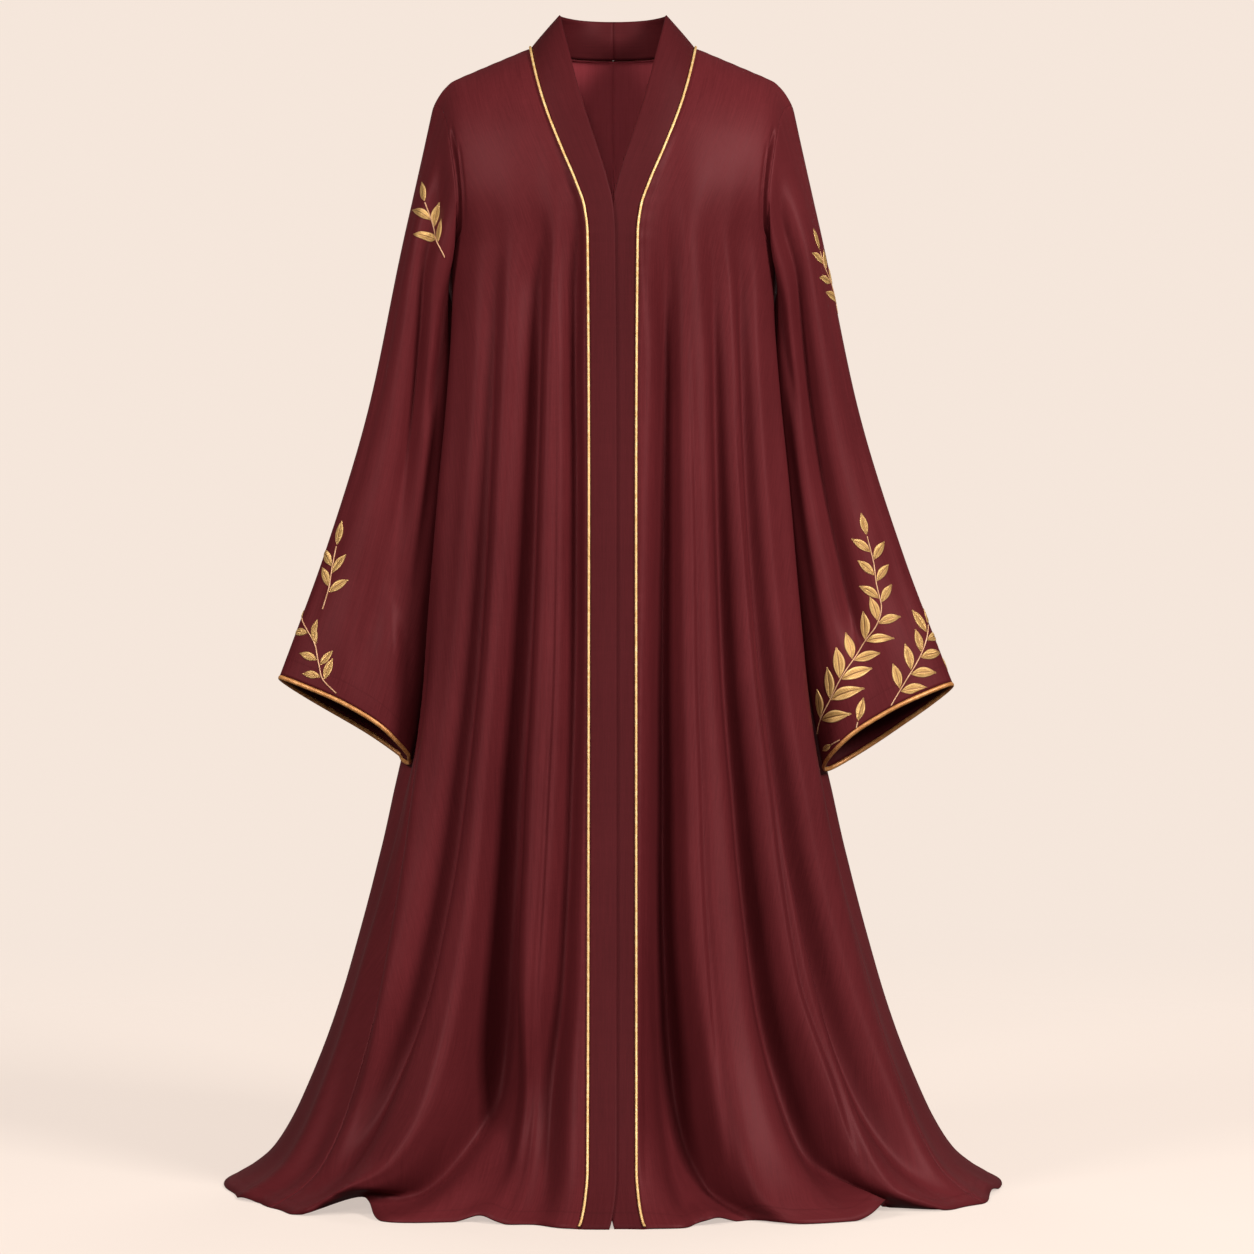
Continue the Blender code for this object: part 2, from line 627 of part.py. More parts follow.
def make_material(name, colour, roughness, metallic, sheen):
    material = bpy.data.materials.new(name)
    material.use_nodes = True
    shader = material.node_tree.nodes["Principled BSDF"]
    shader.inputs["Base Color"].default_value = colour
    shader.inputs["Roughness"].default_value = roughness
    shader.inputs["Metallic"].default_value = metallic
    shader.inputs["Sheen Weight"].default_value = sheen
    return material


def build_side(side, cloth, gold):
    """All pieces of one half of the cloak."""
    hand = SIDES[side]
    front = panel_grid(side, PANEL_COLUMNS, front_point)
    back = panel_grid(side, NECK_COLUMNS + PANEL_COLUMNS, back_point)
    sleeve = sleeve_grid(side, front, back)
    band = band_grid(side, front, back)
    grids = (front, back, sleeve, band)
    outward = (-hand, hand, hand, hand)
    opposite = [(turned(back), -hand), (turned(band), -hand)]
    ways = outward_ways(list(zip(grids, outward)) + opposite)
    sewn = (("start", "end", "top"), ("start", "end", "top"), ("top",), ("start", "top"))
    shifts = seam_shifts(list(zip(PIECES, grids, sewn)))
    for number, (name, rows) in enumerate(zip(PIECES, grids)):
        inner = inner_grid(rows, ways, number, BAND_WALL if name == "band" else WALL)
        outer = parted(name, rows, shifts)
        make_wall(f"{name}_{side}", outer, parted(name, inner, shifts), cloth, name == "sleeve")
    beside = [back[1][c] for c in range(NECK_COLUMNS)] + [row[1] for row in front]
    piping = piping_points(band, beside, ways)
    piping[0].x += hand * PIPING_JOIN
    make_cord(f"piping_{side}", piping, PIPING_RADIUS, gold, False)
    make_cord(f"binding_{side}", binding_points(sleeve, ways), BINDING_RADIUS, gold, True)


def main():
    for existing in list(bpy.data.objects):
        bpy.data.objects.remove(existing)
    cloth = make_material("wine_satin", CLOTH_COLOUR, 0.42, 0.0, 0.15)
    gold = make_material("gold_thread", GOLD_COLOUR, 0.38, 0.35, 0.0)
    for side in SIDES:
        build_side(side, cloth, gold)


main()
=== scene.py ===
"""Wine satin abaya cloak with gold piping and leaf embroidery: its cloth, trims and finishes.

Metres, +Z up, the front faces -Y. The origin is midway between the two points where the
shoulder seams meet the neckband. Right and left are the wearer's, so the right side is
at -X. The cloth's sizes are those that the cloak's solids are made from.
"""

import json
import math
from collections import namedtuple

import bmesh
import bpy
import numpy as np
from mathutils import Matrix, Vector

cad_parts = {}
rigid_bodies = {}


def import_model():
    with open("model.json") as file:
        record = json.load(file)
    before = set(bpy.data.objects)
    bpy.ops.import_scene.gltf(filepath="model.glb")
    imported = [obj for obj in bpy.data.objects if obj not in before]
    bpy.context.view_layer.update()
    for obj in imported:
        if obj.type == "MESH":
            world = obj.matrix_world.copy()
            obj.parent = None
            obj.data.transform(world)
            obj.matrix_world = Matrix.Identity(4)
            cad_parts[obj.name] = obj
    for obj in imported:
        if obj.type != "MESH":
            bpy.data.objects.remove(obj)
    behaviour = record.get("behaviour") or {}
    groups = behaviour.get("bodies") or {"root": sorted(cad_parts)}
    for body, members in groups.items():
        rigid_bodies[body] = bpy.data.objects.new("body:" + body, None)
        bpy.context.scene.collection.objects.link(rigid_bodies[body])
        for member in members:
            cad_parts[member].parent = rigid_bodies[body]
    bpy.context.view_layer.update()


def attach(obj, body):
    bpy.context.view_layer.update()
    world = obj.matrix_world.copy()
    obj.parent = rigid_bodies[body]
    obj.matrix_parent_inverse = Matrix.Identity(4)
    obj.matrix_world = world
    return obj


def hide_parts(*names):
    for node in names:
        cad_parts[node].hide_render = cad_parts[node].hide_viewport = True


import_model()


def rows(kind, table):
    return tuple(kind(*row) for row in table)


def both_sides(kind, tables):
    return {side: rows(kind, table) for side, table in tables.items()}


# ---- Sizes that the solids share -------------------------------------------------------
LENGTH = 1.441
WALL = 0.0018
BAND_WALL = 0.0022
SEAM_GAP = 0.0004
SHOULDER_TIP_DROP = 0.072
SHOULDER_ROUND_FROM = 0.196
SHOULDER_SLOPE = 0.415
SHOULDER_TIP_ROUNDING = 2.6
YOKE_ROUNDING = 2.2
UNDERARM = 0.262
SHOULDER_DEPTH = 0.27
NECK_BACK_DEPTH = 0.072
NECK_BACK_DROP = 0.004
BAND_OVERLAP_LIFT = 0.0018
PIPING_RADIUS = 0.0016
BINDING_RADIUS = 0.0021
PIPING_END = 0.004
PIPING_JOIN = 0.0006
BINDING_GAP = 0.0008
WAIST, KNEE = 0.65, 1.0
NECK_SHARE = 4 / 22      # share of the back's upper edge that the neckline takes
ARMHOLE_DROPS = (0, 0.006, 0.020, 0.045, 0.078, 0.114, 0.150, 0.184, 0.212, 0.233, 0.248, 0.257,
                 UNDERARM)

Section = namedtuple("Section", "drop half_width front_depth back_depth")
SECTIONS = rows(Section, (
    (0, 0.262, 0.118, 0.1),
    (0.08, 0.252, 0.12, 0.112),
    (0.17, 0.237, 0.123, 0.124),
    (0.262, 0.211, 0.126, 0.127),
    (0.33, 0.213, 0.128, 0.126),
    (0.45, 0.223, 0.135, 0.129),
    (0.55, 0.234, 0.143, 0.137),
    (0.68, 0.248, 0.155, 0.15),
    (0.8, 0.264, 0.17, 0.169),
    (0.942, 0.29, 0.191, 0.193),
    (1.018, 0.303, 0.205, 0.209),
    (1.17, 0.339, 0.236, 0.246),
    (1.247, 0.363, 0.256, 0.27),
    (1.323, 0.393, 0.284, 0.302),
    (1.361, 0.411, 0.302, 0.322),
    (1.399, 0.436, 0.325, 0.346),
    (1.422, 0.464, 0.342, 0.364),
    (1.434, 0.485, 0.351, 0.376),
    (1.441, 0.495, 0.357, 0.384),
))
FRONT_SPREAD_FROM = 0.9
FRONT_SPREAD = 0.18

Hollow = namedtuple("Hollow", "drop angle spread depth")
HOLLOW = rows(Hollow, (
    (0.262, 92, 13, 0),
    (0.3, 92, 13, 0.01),
    (0.36, 92, 13, 0.022),
    (0.45, 91, 13, 0.03),
    (0.7, 88, 13, 0.033),
    (0.88, 84, 14, 0.034),
    (0.96, 83, 13, 0.028),
    (1.05, 82, 11, 0.02),
    (1.2, 81, 9, 0.013),
    (1.441, 78, 8, 0.014),
))

Armhole = namedtuple("Armhole", "drop front_x back_x")
ARMHOLE = rows(Armhole, (
    (0, 0.228, 0.228),
    (0.006, 0.22, 0.221),
    (0.025, 0.213, 0.215),
    (0.08, 0.205, 0.2085),
    (0.131, 0.199, 0.2045),
    (0.183, 0.196, 0.2025),
    (0.225, 0.1975, 0.2035),
    (0.262, 0.2108, 0.2108),
))

Band = namedtuple("Band", "drop seam_x inward up forward")
BAND = rows(Band, (
    (0, 0.104, 0.036, 0.042, 0),
    (0.015, 0.1015, 0.0375, 0.038, 0.001),
    (0.035, 0.0975, 0.04, 0.032, 0.003),
    (0.06, 0.0915, 0.043, 0.0215, 0.005),
    (0.09, 0.0825, 0.0445, 0.012, 0.005),
    (0.14, 0.0635, 0.043, 0.006, 0.004),
    (0.185, 0.045, 0.0395, 0.0015, 0.002),
    (0.215, 0.035, 0.036, 0, 0.001),
    (0.25, 0.031, 0.0345, 0, 0),
    (0.6, 0.029, 0.0345, 0, 0),
    (1.38, 0.029, 0.035, 0, 0),
    (1.41, 0.0315, 0.0355, 0, 0),
    (1.427, 0.0345, 0.0355, 0, 0),
    (1.441, 0.0385, 0.0355, 0, 0),
))

FOLD_MID = 0.95
Seam = namedtuple("Seam", "top mid hem")
SIDE_SEAM = {"right": Seam(88, 65, 59), "left": Seam(88, 70, 67)}

Fold = namedtuple("Fold", "top mid hem spread start waist knee floor")
FOLDS = both_sides(Fold, {
    "right": (
        (68, 58, 50, 5.5, 0.3, -0.004, -0.006, -0.006),
        (78, 70, 66, 4, 0.6, 0, 0.005, 0.012),
        (119, 116, 113, 5.5, 0.24, 0.012, 0.024, 0.038),
        (130, 128, 126, 5, 0.3, -0.004, -0.008, -0.01),
        (140, 140, 139, 5.5, 0.16, 0.018, 0.03, 0.046),
        (158, 157, 156, 4.6, 0.22, 0.012, 0.022, 0.034),
        (172, 171, 171, 4, 0.3, 0.006, 0.014, 0.024),
    ),
    "left": (
        (72, 63, 66, 5, 0.3, -0.004, -0.005, -0.005),
        (118, 115, 112, 5, 0.26, 0.011, 0.02, 0.034),
        (134, 133, 131, 5.5, 0.17, 0.018, 0.032, 0.048),
        (146, 146, 145, 5, 0.3, -0.004, -0.008, -0.01),
        (155, 155, 155, 4.6, 0.2, 0.013, 0.024, 0.036),
        (170, 169, 168, 4.2, 0.28, 0.007, 0.016, 0.026),
    ),
})

# The valleys between the front's folds: their angles and depths at these drops, and how far
# each spreads towards the front edge and away from it. Negative depths are raised lips.
VALLEY_DROPS = (0.10, 0.20, 0.32, 0.60, 0.90, 1.15, 1.30, 1.42, 1.441)
Valley = namedtuple("Valley", "angles depths inner outer")
MM = 0.001
VALLEYS = both_sides(Valley, {
    "right": (
        ((11.2, 12.3, 13.2, 11.3, 10.4, 10.8, 12.2, 11.5, 11.5),
         (0, 5, 19, 23, 24, 32, 46, 36, 26), 2.2, 3.2),
        ((22.8, 25, 27, 26.3, 25.6, 24.2, 21, 20.3, 20.3),
         (0, 5, 24, 38, 46, 58, 66, 46, 32), 2.8, 5),
        ((30, 32, 34, 32, 29.6, 28.4, 27.6, 34.5, 41),
         (0, 0, 0, 4, 16, 36, 70, 72, 50), 3.4, 2.6),
        ((36, 37, 38.8, 36.2, 33.8, 32.8, 34.2, 43, 51),
         (0, 0, 0, -1, -3, -6, -9, -8, -4), 0.9, 3),
        ((37, 41.1, 44.9, 43.4, 42.9, 45.3, 50, 53, 55),
         (0, 2, 8, 18, 28, 38, 46, 24, 10), 3.4, 4),
        ((66, 66, 65, 64, 63, 62, 61, 62, 62),
         (0, 0, 0, 0, 12, 18, 20, 16, 8), 3.8, 4.4),
        ((18, 18.5, 19.2, 17.4, 16.3, 16.2, 15.9, 15.9, 15.9),
         (0, 0, 0, 3, 5, 6, 6, 6, 4), 0.7, 0.9),
    ),
    "left": (
        ((16.5, 18, 19.4, 17.1, 14.4, 13, 13.5, 17, 20),
         (0, 5, 20, 37, 52, 70, 90, 92, 44), 4.2, 2.8),
        ((31.6, 34.9, 38.2, 36.2, 34.8, 35.2, 37.6, 42.2, 48.5),
         (0, 3, 13, 28, 41, 54, 68, 72, 58), 3.6, 3),
        ((41.7, 46.7, 51.3, 48.8, 49.4, 52.5, 55.6, 60, 62),
         (0, 3, 12, 22, 29, 37, 38, 22, 8), 3.5, 3.3),
        ((25, 26, 26.7, 25.7, 22.9, 21.2, 20.8, 20.8, 20.8),
         (0, 0, 0, 3, 5, 6, 6, 5, 4), 0.8, 1),
        ((42, 43, 43.2, 43.3, 43.5, 43.1, 46.6, 46.9, 47),
         (0, 0, 0, 2, 4, 5, 5, 4, 3), 0.8, 1),
        ((9, 9, 9, 9, 9, 9.5, 10, 11, 12),
         (0, 0, 0, 0, 0, 2, 8, 14, 12), 0.9, 0.9),
    ),
})
VALLEY_SPREAD_FROM, VALLEY_SPREAD_OVER, VALLEY_SPREAD = 1.05, 0.35, 0.45
SOFT_TOP_FROM, SOFT_TOP_OVER, SOFT_TOP = 0.42, 0.25, 0.9    # valleys start wide and shallow

Arch = namedtuple("Arch", "angle spread height")
ARCH_DEPTH = 0.075
ARCHES = both_sides(Arch, {
    "right": ((19.3, 3, 0.01), (41.5, 4.6, 0.02), (70, 3.5, 0.005),
              (113, 4, 0.014), (139, 3.6, 0.01)),
    "left": ((14.8, 3, 0.01), (42.5, 4.2, 0.02), (80, 4, 0.006),
             (112, 4, 0.012), (131, 3.6, 0.012)),
})

Ring = namedtuple("Ring", "share outer_x outer_drop inner_x inner_drop depth middle_y")
SLEEVE_RINGS = rows(Ring, (
    (0, 0.228, 0.072, 0.2108, 0.262, 0.06, 0),
    (0.08, 0.24, 0.126, 0.206, 0.31, 0.06, 0.003),
    (0.25, 0.27, 0.26, 0.201, 0.405, 0.057, 0.006),
    (0.5, 0.311, 0.458, 0.212, 0.575, 0.052, 0.004),
    (0.75, 0.367, 0.645, 0.231, 0.745, 0.048, -0.004),
    (0.9, 0.401, 0.741, 0.244, 0.843, 0.045, -0.014),
    (1, 0.421, 0.796, 0.252, 0.903, 0.042, -0.02),
))
LeftCuff = namedtuple("LeftCuff", "outer_x outer_drop inner_x inner_drop")
LEFT_CUFF = LeftCuff(0.008, 0.009, 0.013, 0.006)
SLEEVE_CLEARANCE = 0.0012
BINDING_CLEARANCE = 0.0055
BESIDE_FROM = 0.225
UNDERARM_SPACE = 0.008
ARMHOLE_EASE = 0.22
CUFF_TILT = {"right": 0.012, "left": 0.017}
CUFF_BOW = {"right": 0.010, "left": 0.004}
CUFF_POINT = 0.42
SleeveFold = namedtuple("SleeveFold", "top cuff spread start depth")
SLEEVE_FOLDS = both_sides(SleeveFold, {
    "right": ((75, 103, 15, 0.1, 0.011), (128, 140, 12, 0.16, 0.007),
              (228, 236, 16, 0.12, 0.01), (288, 276, 16, 0.2, 0.009)),
    "left": ((90, 104, 15, 0.08, 0.011), (134, 142, 12, 0.14, 0.006),
             (236, 232, 17, 0.14, 0.01), (280, 286, 15, 0.18, 0.009)),
})
SIDE_FROM, SIDE_TO, SIDE_STEP = 40, 136, 3
SIDES = {"right": -1, "left": 1}

# ---- Finer cloth than the solids have --------------------------------------------------
PANEL_COLUMNS = 144
BACK_COLUMNS = 104
STEPS_PER_ARMHOLE_ROW = 5
SKIRT_ROWS = 168
CLOSER_AT_HEM, CLOSER_AT_EDGES = 0.05, 0.06
SLEEVE_ROWS = 170
BAND_COLUMNS = 14
SEAM_LAP = 0.00025
SEAM_SINK = 0.0011       # how far a seam is drawn into the cloth
SEAM_SINK_WIDTH = 0.0045
PUCKER = 0.0003
PUCKER_PITCH = 0.021
PUCKER_REACH = 0.012
HEM_DEPTH = 0.022        # turned hem, sewn this far above its edge

# Creases between and beside the folds: width in degrees, depth in metres, and lean, by
# which one flank is steeper than the other. They fade in at start and out at end.
Crease = namedtuple("Crease", "top mid hem width start end depth lean")
CREASES = both_sides(Crease, {
    "right": (
        (104, 106, 108, 2.4, 0.4, 1.3, 0.0025, 0.4),
        (125, 122, 119, 2, 0.5, 1.45, 0.004, -0.5),
        (148, 148.5, 148, 2.2, 0.3, 1.45, 0.004, 0.5),
        (165, 164, 163.5, 1.8, 0.4, 1.38, 0.003, -0.4),
    ),
    "left": (
        (106, 104, 103, 2.4, 0.45, 1.32, 0.0025, -0.4),
        (126, 124, 122, 2, 0.35, 1.45, 0.004, 0.5),
        (150.5, 150.5, 150, 2, 0.44, 1.4, 0.0036, -0.5),
        (162.5, 162, 161.5, 1.8, 0.3, 1.45, 0.0032, 0.4),
    ),
})


def smooth_line(xs, ys, at):
    """Values at places along xs, on a smooth curve through the given points."""
    xs, ys = np.array(xs, float), np.array(ys, float)
    steps = np.diff(xs)
    slopes = np.diff(ys) / steps
    before, after = slopes[:-1], slopes[1:]
    level = before * after <= 0
    inner = np.where(level, 0, 2 * before * after / np.where(level, 1, before + after))
    tangents = np.concatenate([slopes[:1], inner, slopes[-1:]])
    at = np.clip(at, xs[0], xs[-1])
    i = np.clip(np.searchsorted(xs, at) - 1, 0, len(slopes) - 1)
    t = (at - xs[i]) / steps[i]
    start, end, rise = tangents[i] * steps[i], tangents[i + 1] * steps[i], ys[i + 1] - ys[i]
    return ys[i] + t * (start + t * (3 * rise - 2 * start - end + t * (start + end - 2 * rise)))


def follow(table, name, at):
    """One column of a table at places in its first column."""
    return smooth_line([row[0] for row in table], [getattr(row, name) for row in table], at)


def ease(value):
    """0 below 0, 1 above 1, and smooth between."""
    value = np.clip(value, 0, 1)
    return value * value * (3 - 2 * value)


def bell(offset, spread):
    return np.exp(-((offset / spread) ** 2))


def drifting(row, drop):
    """The angle of a fold, crease or seam that fans out between the underarm and the hem."""
    share = np.maximum(0, (drop - UNDERARM) / (FOLD_MID - UNDERARM))
    upper = row.top + (row.mid - row.top) * share
    lower = row.mid + (row.hem - row.mid) * (drop - FOLD_MID) / (LENGTH - FOLD_MID)
    return np.where(drop <= FOLD_MID, upper, lower)


UPPER_FULLNESS = 0.50     # below 1, the folds grow sooner under the shoulders
WAIST_DEPTH, KNEE_DEPTH = 1.45, 1.20


def fold_depth(row, drop):
    at_waist, at_knee = row.waist * WAIST_DEPTH, row.knee * KNEE_DEPTH
    waist = at_waist * ease((drop - row.start) / (WAIST - row.start)) ** UPPER_FULLNESS
    knee = at_waist + (at_knee - at_waist) * (drop - WAIST) / (KNEE - WAIST)
    floor = at_knee + (row.floor - at_knee) * (drop - KNEE) / (LENGTH - KNEE)
    return np.where(drop <= WAIST, waist, np.where(drop <= KNEE, knee, floor))


def valley_depth(row, angle, drop):
    offset = angle - smooth_line(VALLEY_DROPS, row.angles, drop)
    wider = (1 + VALLEY_SPREAD * ease((drop - VALLEY_SPREAD_FROM) / VALLEY_SPREAD_OVER)
             + SOFT_TOP * ease((SOFT_TOP_FROM - drop) / SOFT_TOP_OVER))
    spread = np.where(offset < 0, row.inner, row.outer) * wider
    return smooth_line(VALLEY_DROPS, row.depths, drop) * MM * bell(offset, spread)


CREASE_GROWS_OVER, CREASE_FADES_OVER, CREASE_FLANK = 0.22, 0.16, 1.6


def crease_depth(row, angle, drop):
    """A narrow groove, steeper on the flank that it leans to."""
    grown = (ease((drop - row.start) / CREASE_GROWS_OVER)
             * ease((row.end - drop) / CREASE_FADES_OVER))
    offset = (angle - drifting(row, drop)) / row.width
    return row.depth * grown * bell(offset, 1) * (1 + row.lean * np.tanh(offset * CREASE_FLANK))


def shoulder_z(x):
    """The shoulder seam falls straight from the neck and rounds down near its tip."""
    tip_x = ARMHOLE[0].front_x
    share = np.maximum(0, (x - SHOULDER_ROUND_FROM) / (tip_x - SHOULDER_ROUND_FROM))
    extra = SHOULDER_TIP_DROP - SHOULDER_SLOPE * (tip_x - BAND[0].seam_x)
    return -(SHOULDER_SLOPE * (x - BAND[0].seam_x) + extra * share ** SHOULDER_TIP_ROUNDING)


CREASE_FREE_SPREAD = 14       # degrees beside the sleeve that have no fine creases
SMOOTH_BY_BAND, SMOOTH_BY_BACK_SEAM = 0.012, 0.05


def section_points(side, angle, drop):
    """Points of the section with its folds, as x, y and lift, for the +X half."""
    angle, drop = np.broadcast_arrays(np.asarray(angle, float), np.asarray(drop, float))
    half_width = follow(SECTIONS, "half_width", drop)
    turn = np.radians(angle)
    front = np.cos(turn) > 0
    depth = np.where(front, follow(SECTIONS, "front_depth", drop),
                     follow(SECTIONS, "back_depth", drop))
    spread = FRONT_SPREAD * ease((drop - FRONT_SPREAD_FROM) / (LENGTH - FRONT_SPREAD_FROM))
    x = half_width * np.sin(turn)
    y = np.where(front, -depth * np.abs(np.cos(turn)) ** (1 - spread), -depth * np.cos(turn))
    out_x, out_y = np.sin(turn) / half_width, -np.cos(turn) / depth
    size = np.hypot(out_x, out_y)
    inward = np.zeros_like(x)
    for fold in FOLDS[side]:
        inward += fold_depth(fold, drop) * bell(angle - drifting(fold, drop), fold.spread)
    for valley in VALLEYS[side]:
        inward += valley_depth(valley, angle, drop)
    from_sleeve = angle - follow(HOLLOW, "angle", drop)
    beside_sleeve = bell(from_sleeve, CREASE_FREE_SPREAD) * (drop < KNEE)
    for crease in CREASES[side]:
        inward += crease_depth(crease, angle, drop) * (1 - beside_sleeve)
    inward *= ease(np.where(front, (x - follow(BAND, "seam_x", drop)) / SMOOTH_BY_BAND,
                            x / SMOOTH_BY_BACK_SEAM))
    inward += follow(HOLLOW, "depth", drop) * bell(from_sleeve, follow(HOLLOW, "spread", drop))
    lift = sum(a.height * bell(angle - a.angle, a.spread) for a in ARCHES[side])
    lift = lift * ease((drop - LENGTH + ARCH_DEPTH) / ARCH_DEPTH)
    return x - out_x / size * inward, y - out_y / size * inward, lift


def edge_angle(side, drop, front):
    """The angle at which a front or back panel ends: its armhole, then its side seam."""
    reach = follow(ARMHOLE, "front_x" if front else "back_x", drop)
    half_width = follow(SECTIONS, "half_width", drop)
    angle = np.degrees(np.arcsin(np.minimum(1, reach / half_width)))
    armhole = angle if front else 180 - angle
    return np.where(drop >= UNDERARM, drifting(SIDE_SEAM[side], drop), armhole)


def body_z(top_z, drop):
    """Rows follow the slope of the shoulders at the top and are level from the underarm down."""
    return -drop + top_z * np.maximum(0, 1 - drop / UNDERARM)


def rounding(drop):
    """How far the surface has come forward or back from the shoulder seam."""
    return np.sqrt(1 - (1 - np.minimum(1, drop / SHOULDER_DEPTH)) ** YOKE_ROUNDING)


def spaced_angle(side, drop, first, across, front):
    """Columns are even down the panel, and only the outer ones draw in at the armhole."""
    edge = edge_angle(side, drop, front)
    tip = edge_angle(side, np.float64(0), front)
    underarm = edge_angle(side, np.float64(UNDERARM), front)
    even = tip + (underarm - tip) * drop / UNDERARM
    above = first + (even - first) * across + (edge - even) * across ** 2
    return np.where(drop >= UNDERARM, first + (edge - first) * across, above)


def front_top_x(across):
    inner = math.asin(BAND[0].seam_x / SECTIONS[0].half_width)
    outer = math.asin(ARMHOLE[0].front_x / SECTIONS[0].half_width)
    return SECTIONS[0].half_width * np.sin(inner + (outer - inner) * across)


def front_points(side, across, drop):
    half_width = follow(SECTIONS, "half_width", drop)
    inner = np.degrees(np.arcsin(follow(BAND, "seam_x", drop) / half_width))
    x, y, lift = section_points(side, spaced_angle(side, drop, inner, across, True), drop)
    z = body_z(shoulder_z(front_top_x(across)), drop) + lift
    return np.stack([x, y * rounding(drop), z], -1)


def back_tops(across):
    """The back's upper edge: the neckline from the centre back, then the shoulder seam."""
    turn = np.minimum(1, across / NECK_SHARE) * math.pi / 2
    x = front_top_x((across - NECK_SHARE) / (1 - NECK_SHARE))
    neck = across <= NECK_SHARE
    return (np.where(neck, BAND[0].seam_x * np.sin(turn), x),
            np.where(neck, NECK_BACK_DEPTH * np.cos(turn), 0),
            np.where(neck, -NECK_BACK_DROP * np.cos(turn) ** 2, shoulder_z(x)))


def back_points(side, across, drop):
    top_x, top_y, top_z = back_tops(across)
    top_angle = 180 - np.degrees(np.arcsin(top_x / SECTIONS[0].half_width))
    fanned = top_angle - spaced_angle(side, np.zeros_like(drop), 180, across, False)
    angle = spaced_angle(side, drop, 180, across, False) + fanned * (1 - ease(drop / UNDERARM))
    x, y, lift = section_points(side, angle, drop)
    return np.stack([x, top_y + (y - top_y) * rounding(drop), body_z(top_z, drop) + lift], -1)


def row_drops():
    """Drops of the rows: close together at the shoulder, the underarm and the hem."""
    marks = np.arange(len(ARMHOLE_DROPS))
    steps = (len(ARMHOLE_DROPS) - 1) * STEPS_PER_ARMHOLE_ROW + 1
    armhole = smooth_line(marks, ARMHOLE_DROPS, np.linspace(0, marks[-1], steps))
    share = np.linspace(0, 1, SKIRT_ROWS + 1)[1:]
    closer = share + CLOSER_AT_HEM * np.sin(math.pi * share)
    return armhole, UNDERARM + (LENGTH - UNDERARM) * closer


def edge_spacing(count):
    """Shares across a panel, closer together near both of its edges."""
    share = np.linspace(0, 1, count + 1)
    return share - CLOSER_AT_EDGES * np.sin(2 * math.pi * share)


def with_side(side, points):
    return points * np.array([SIDES[side], 1, 1])


def outward_normals(grid, outward, closed=False):
    across = np.gradient(grid, axis=1)
    if closed:
        ends = (grid[:, 1] - grid[:, -2]) / 2
        across[:, 0], across[:, -1] = ends, ends
    normal = np.cross(across, np.gradient(grid, axis=0)) * outward
    return normal / np.maximum(1e-12, np.linalg.norm(normal, axis=-1, keepdims=True))


def unit(ways):
    return ways / np.maximum(1e-12, np.linalg.norm(ways, axis=-1, keepdims=True))


def run_along(points):
    """Length along a line of points, from its first."""
    steps = np.linalg.norm(np.diff(points, axis=0), axis=-1)
    return np.concatenate([[0], np.cumsum(steps)])


def away_from(grid, edge):
    """How far each point of a grid lies from one of its edges, along the cloth."""
    axis = 0 if edge == "top" else 1
    steps = np.linalg.norm(np.diff(grid, axis=axis), axis=-1)
    if edge == "end":
        return np.pad(np.cumsum(steps[:, ::-1], axis=1)[:, ::-1], ((0, 0), (0, 1)))
    return np.pad(np.cumsum(steps, axis=axis), ((1, 0), (0, 0)) if axis == 0 else ((0, 0), (1, 0)))


EDGES = {"start": np.s_[:, 0], "end": np.s_[:, -1], "top": np.s_[0]}
BESIDE_EDGES = {"start": np.s_[:, 1], "end": np.s_[:, -2], "top": np.s_[1]}


def sewn_edges(grid, outward, edges, closed=False, depth=1.0):
    """Laps a piece's sewn edges a hair past the seam, so it shows no light, and draws them in."""
    normal = outward_normals(grid, outward, closed)
    made = grid.copy()
    drawn_in = np.zeros(grid.shape[:2])
    for edge in edges:
        line = grid[EDGES[edge]]
        along = unit(np.gradient(line, axis=0))
        way = grid[BESIDE_EDGES[edge]] - line
        way = unit(way - along * (way * along).sum(-1, keepdims=True))
        made[EDGES[edge]] -= way * SEAM_LAP
        run = run_along(line)[None, :] if edge == "top" else run_along(line)[:, None]
        away = away_from(grid, edge)
        wave = np.sin(2 * math.pi * run / PUCKER_PITCH + 3 * np.sin(run * 11))
        sink = (SEAM_SINK * depth * np.exp(-away / SEAM_SINK_WIDTH)
                + PUCKER * wave * np.exp(-away / PUCKER_REACH) * (away > 1e-6))
        drawn_in = np.where(np.abs(sink) > np.abs(drawn_in), sink, drawn_in)
    return made - normal * drawn_in[..., None]


Pleat = namedtuple("Pleat", "across width start end depth")
PLEATS = rows(Pleat, ((0.93, 0.032, 0.05, 0.4, 0.007), (0.845, 0.028, 0.09, 0.3, 0.0022)))
PLEAT_GROWS_OVER, PLEAT_FADES_OVER = 0.05, 0.12


def pleated(grid, outward, drops):
    """Fine pleats that hang from the armhole down the front."""
    across = edge_spacing(grid.shape[1] - 1)[None, :]
    inward = sum(pleat.depth * bell(across - pleat.across, pleat.width)
                 * ease((drops - pleat.start) / PLEAT_GROWS_OVER)
                 * ease((pleat.end - drops) / PLEAT_FADES_OVER) for pleat in PLEATS)
    return grid - outward_normals(grid, outward) * inward[..., None]


# ---- Making pieces ---------------------------------------------------------------------
def link(name, mesh, materials):
    piece = bpy.data.objects.new(name, mesh)
    for material in materials:
        mesh.materials.append(material)
    bpy.context.scene.collection.objects.link(piece)
    return piece


def tied(piece, node=None):
    """Ties a piece to the cloak's one body, and hides the solid that it stands for."""
    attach(piece, "root")
    if node:
        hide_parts(node)
    return piece


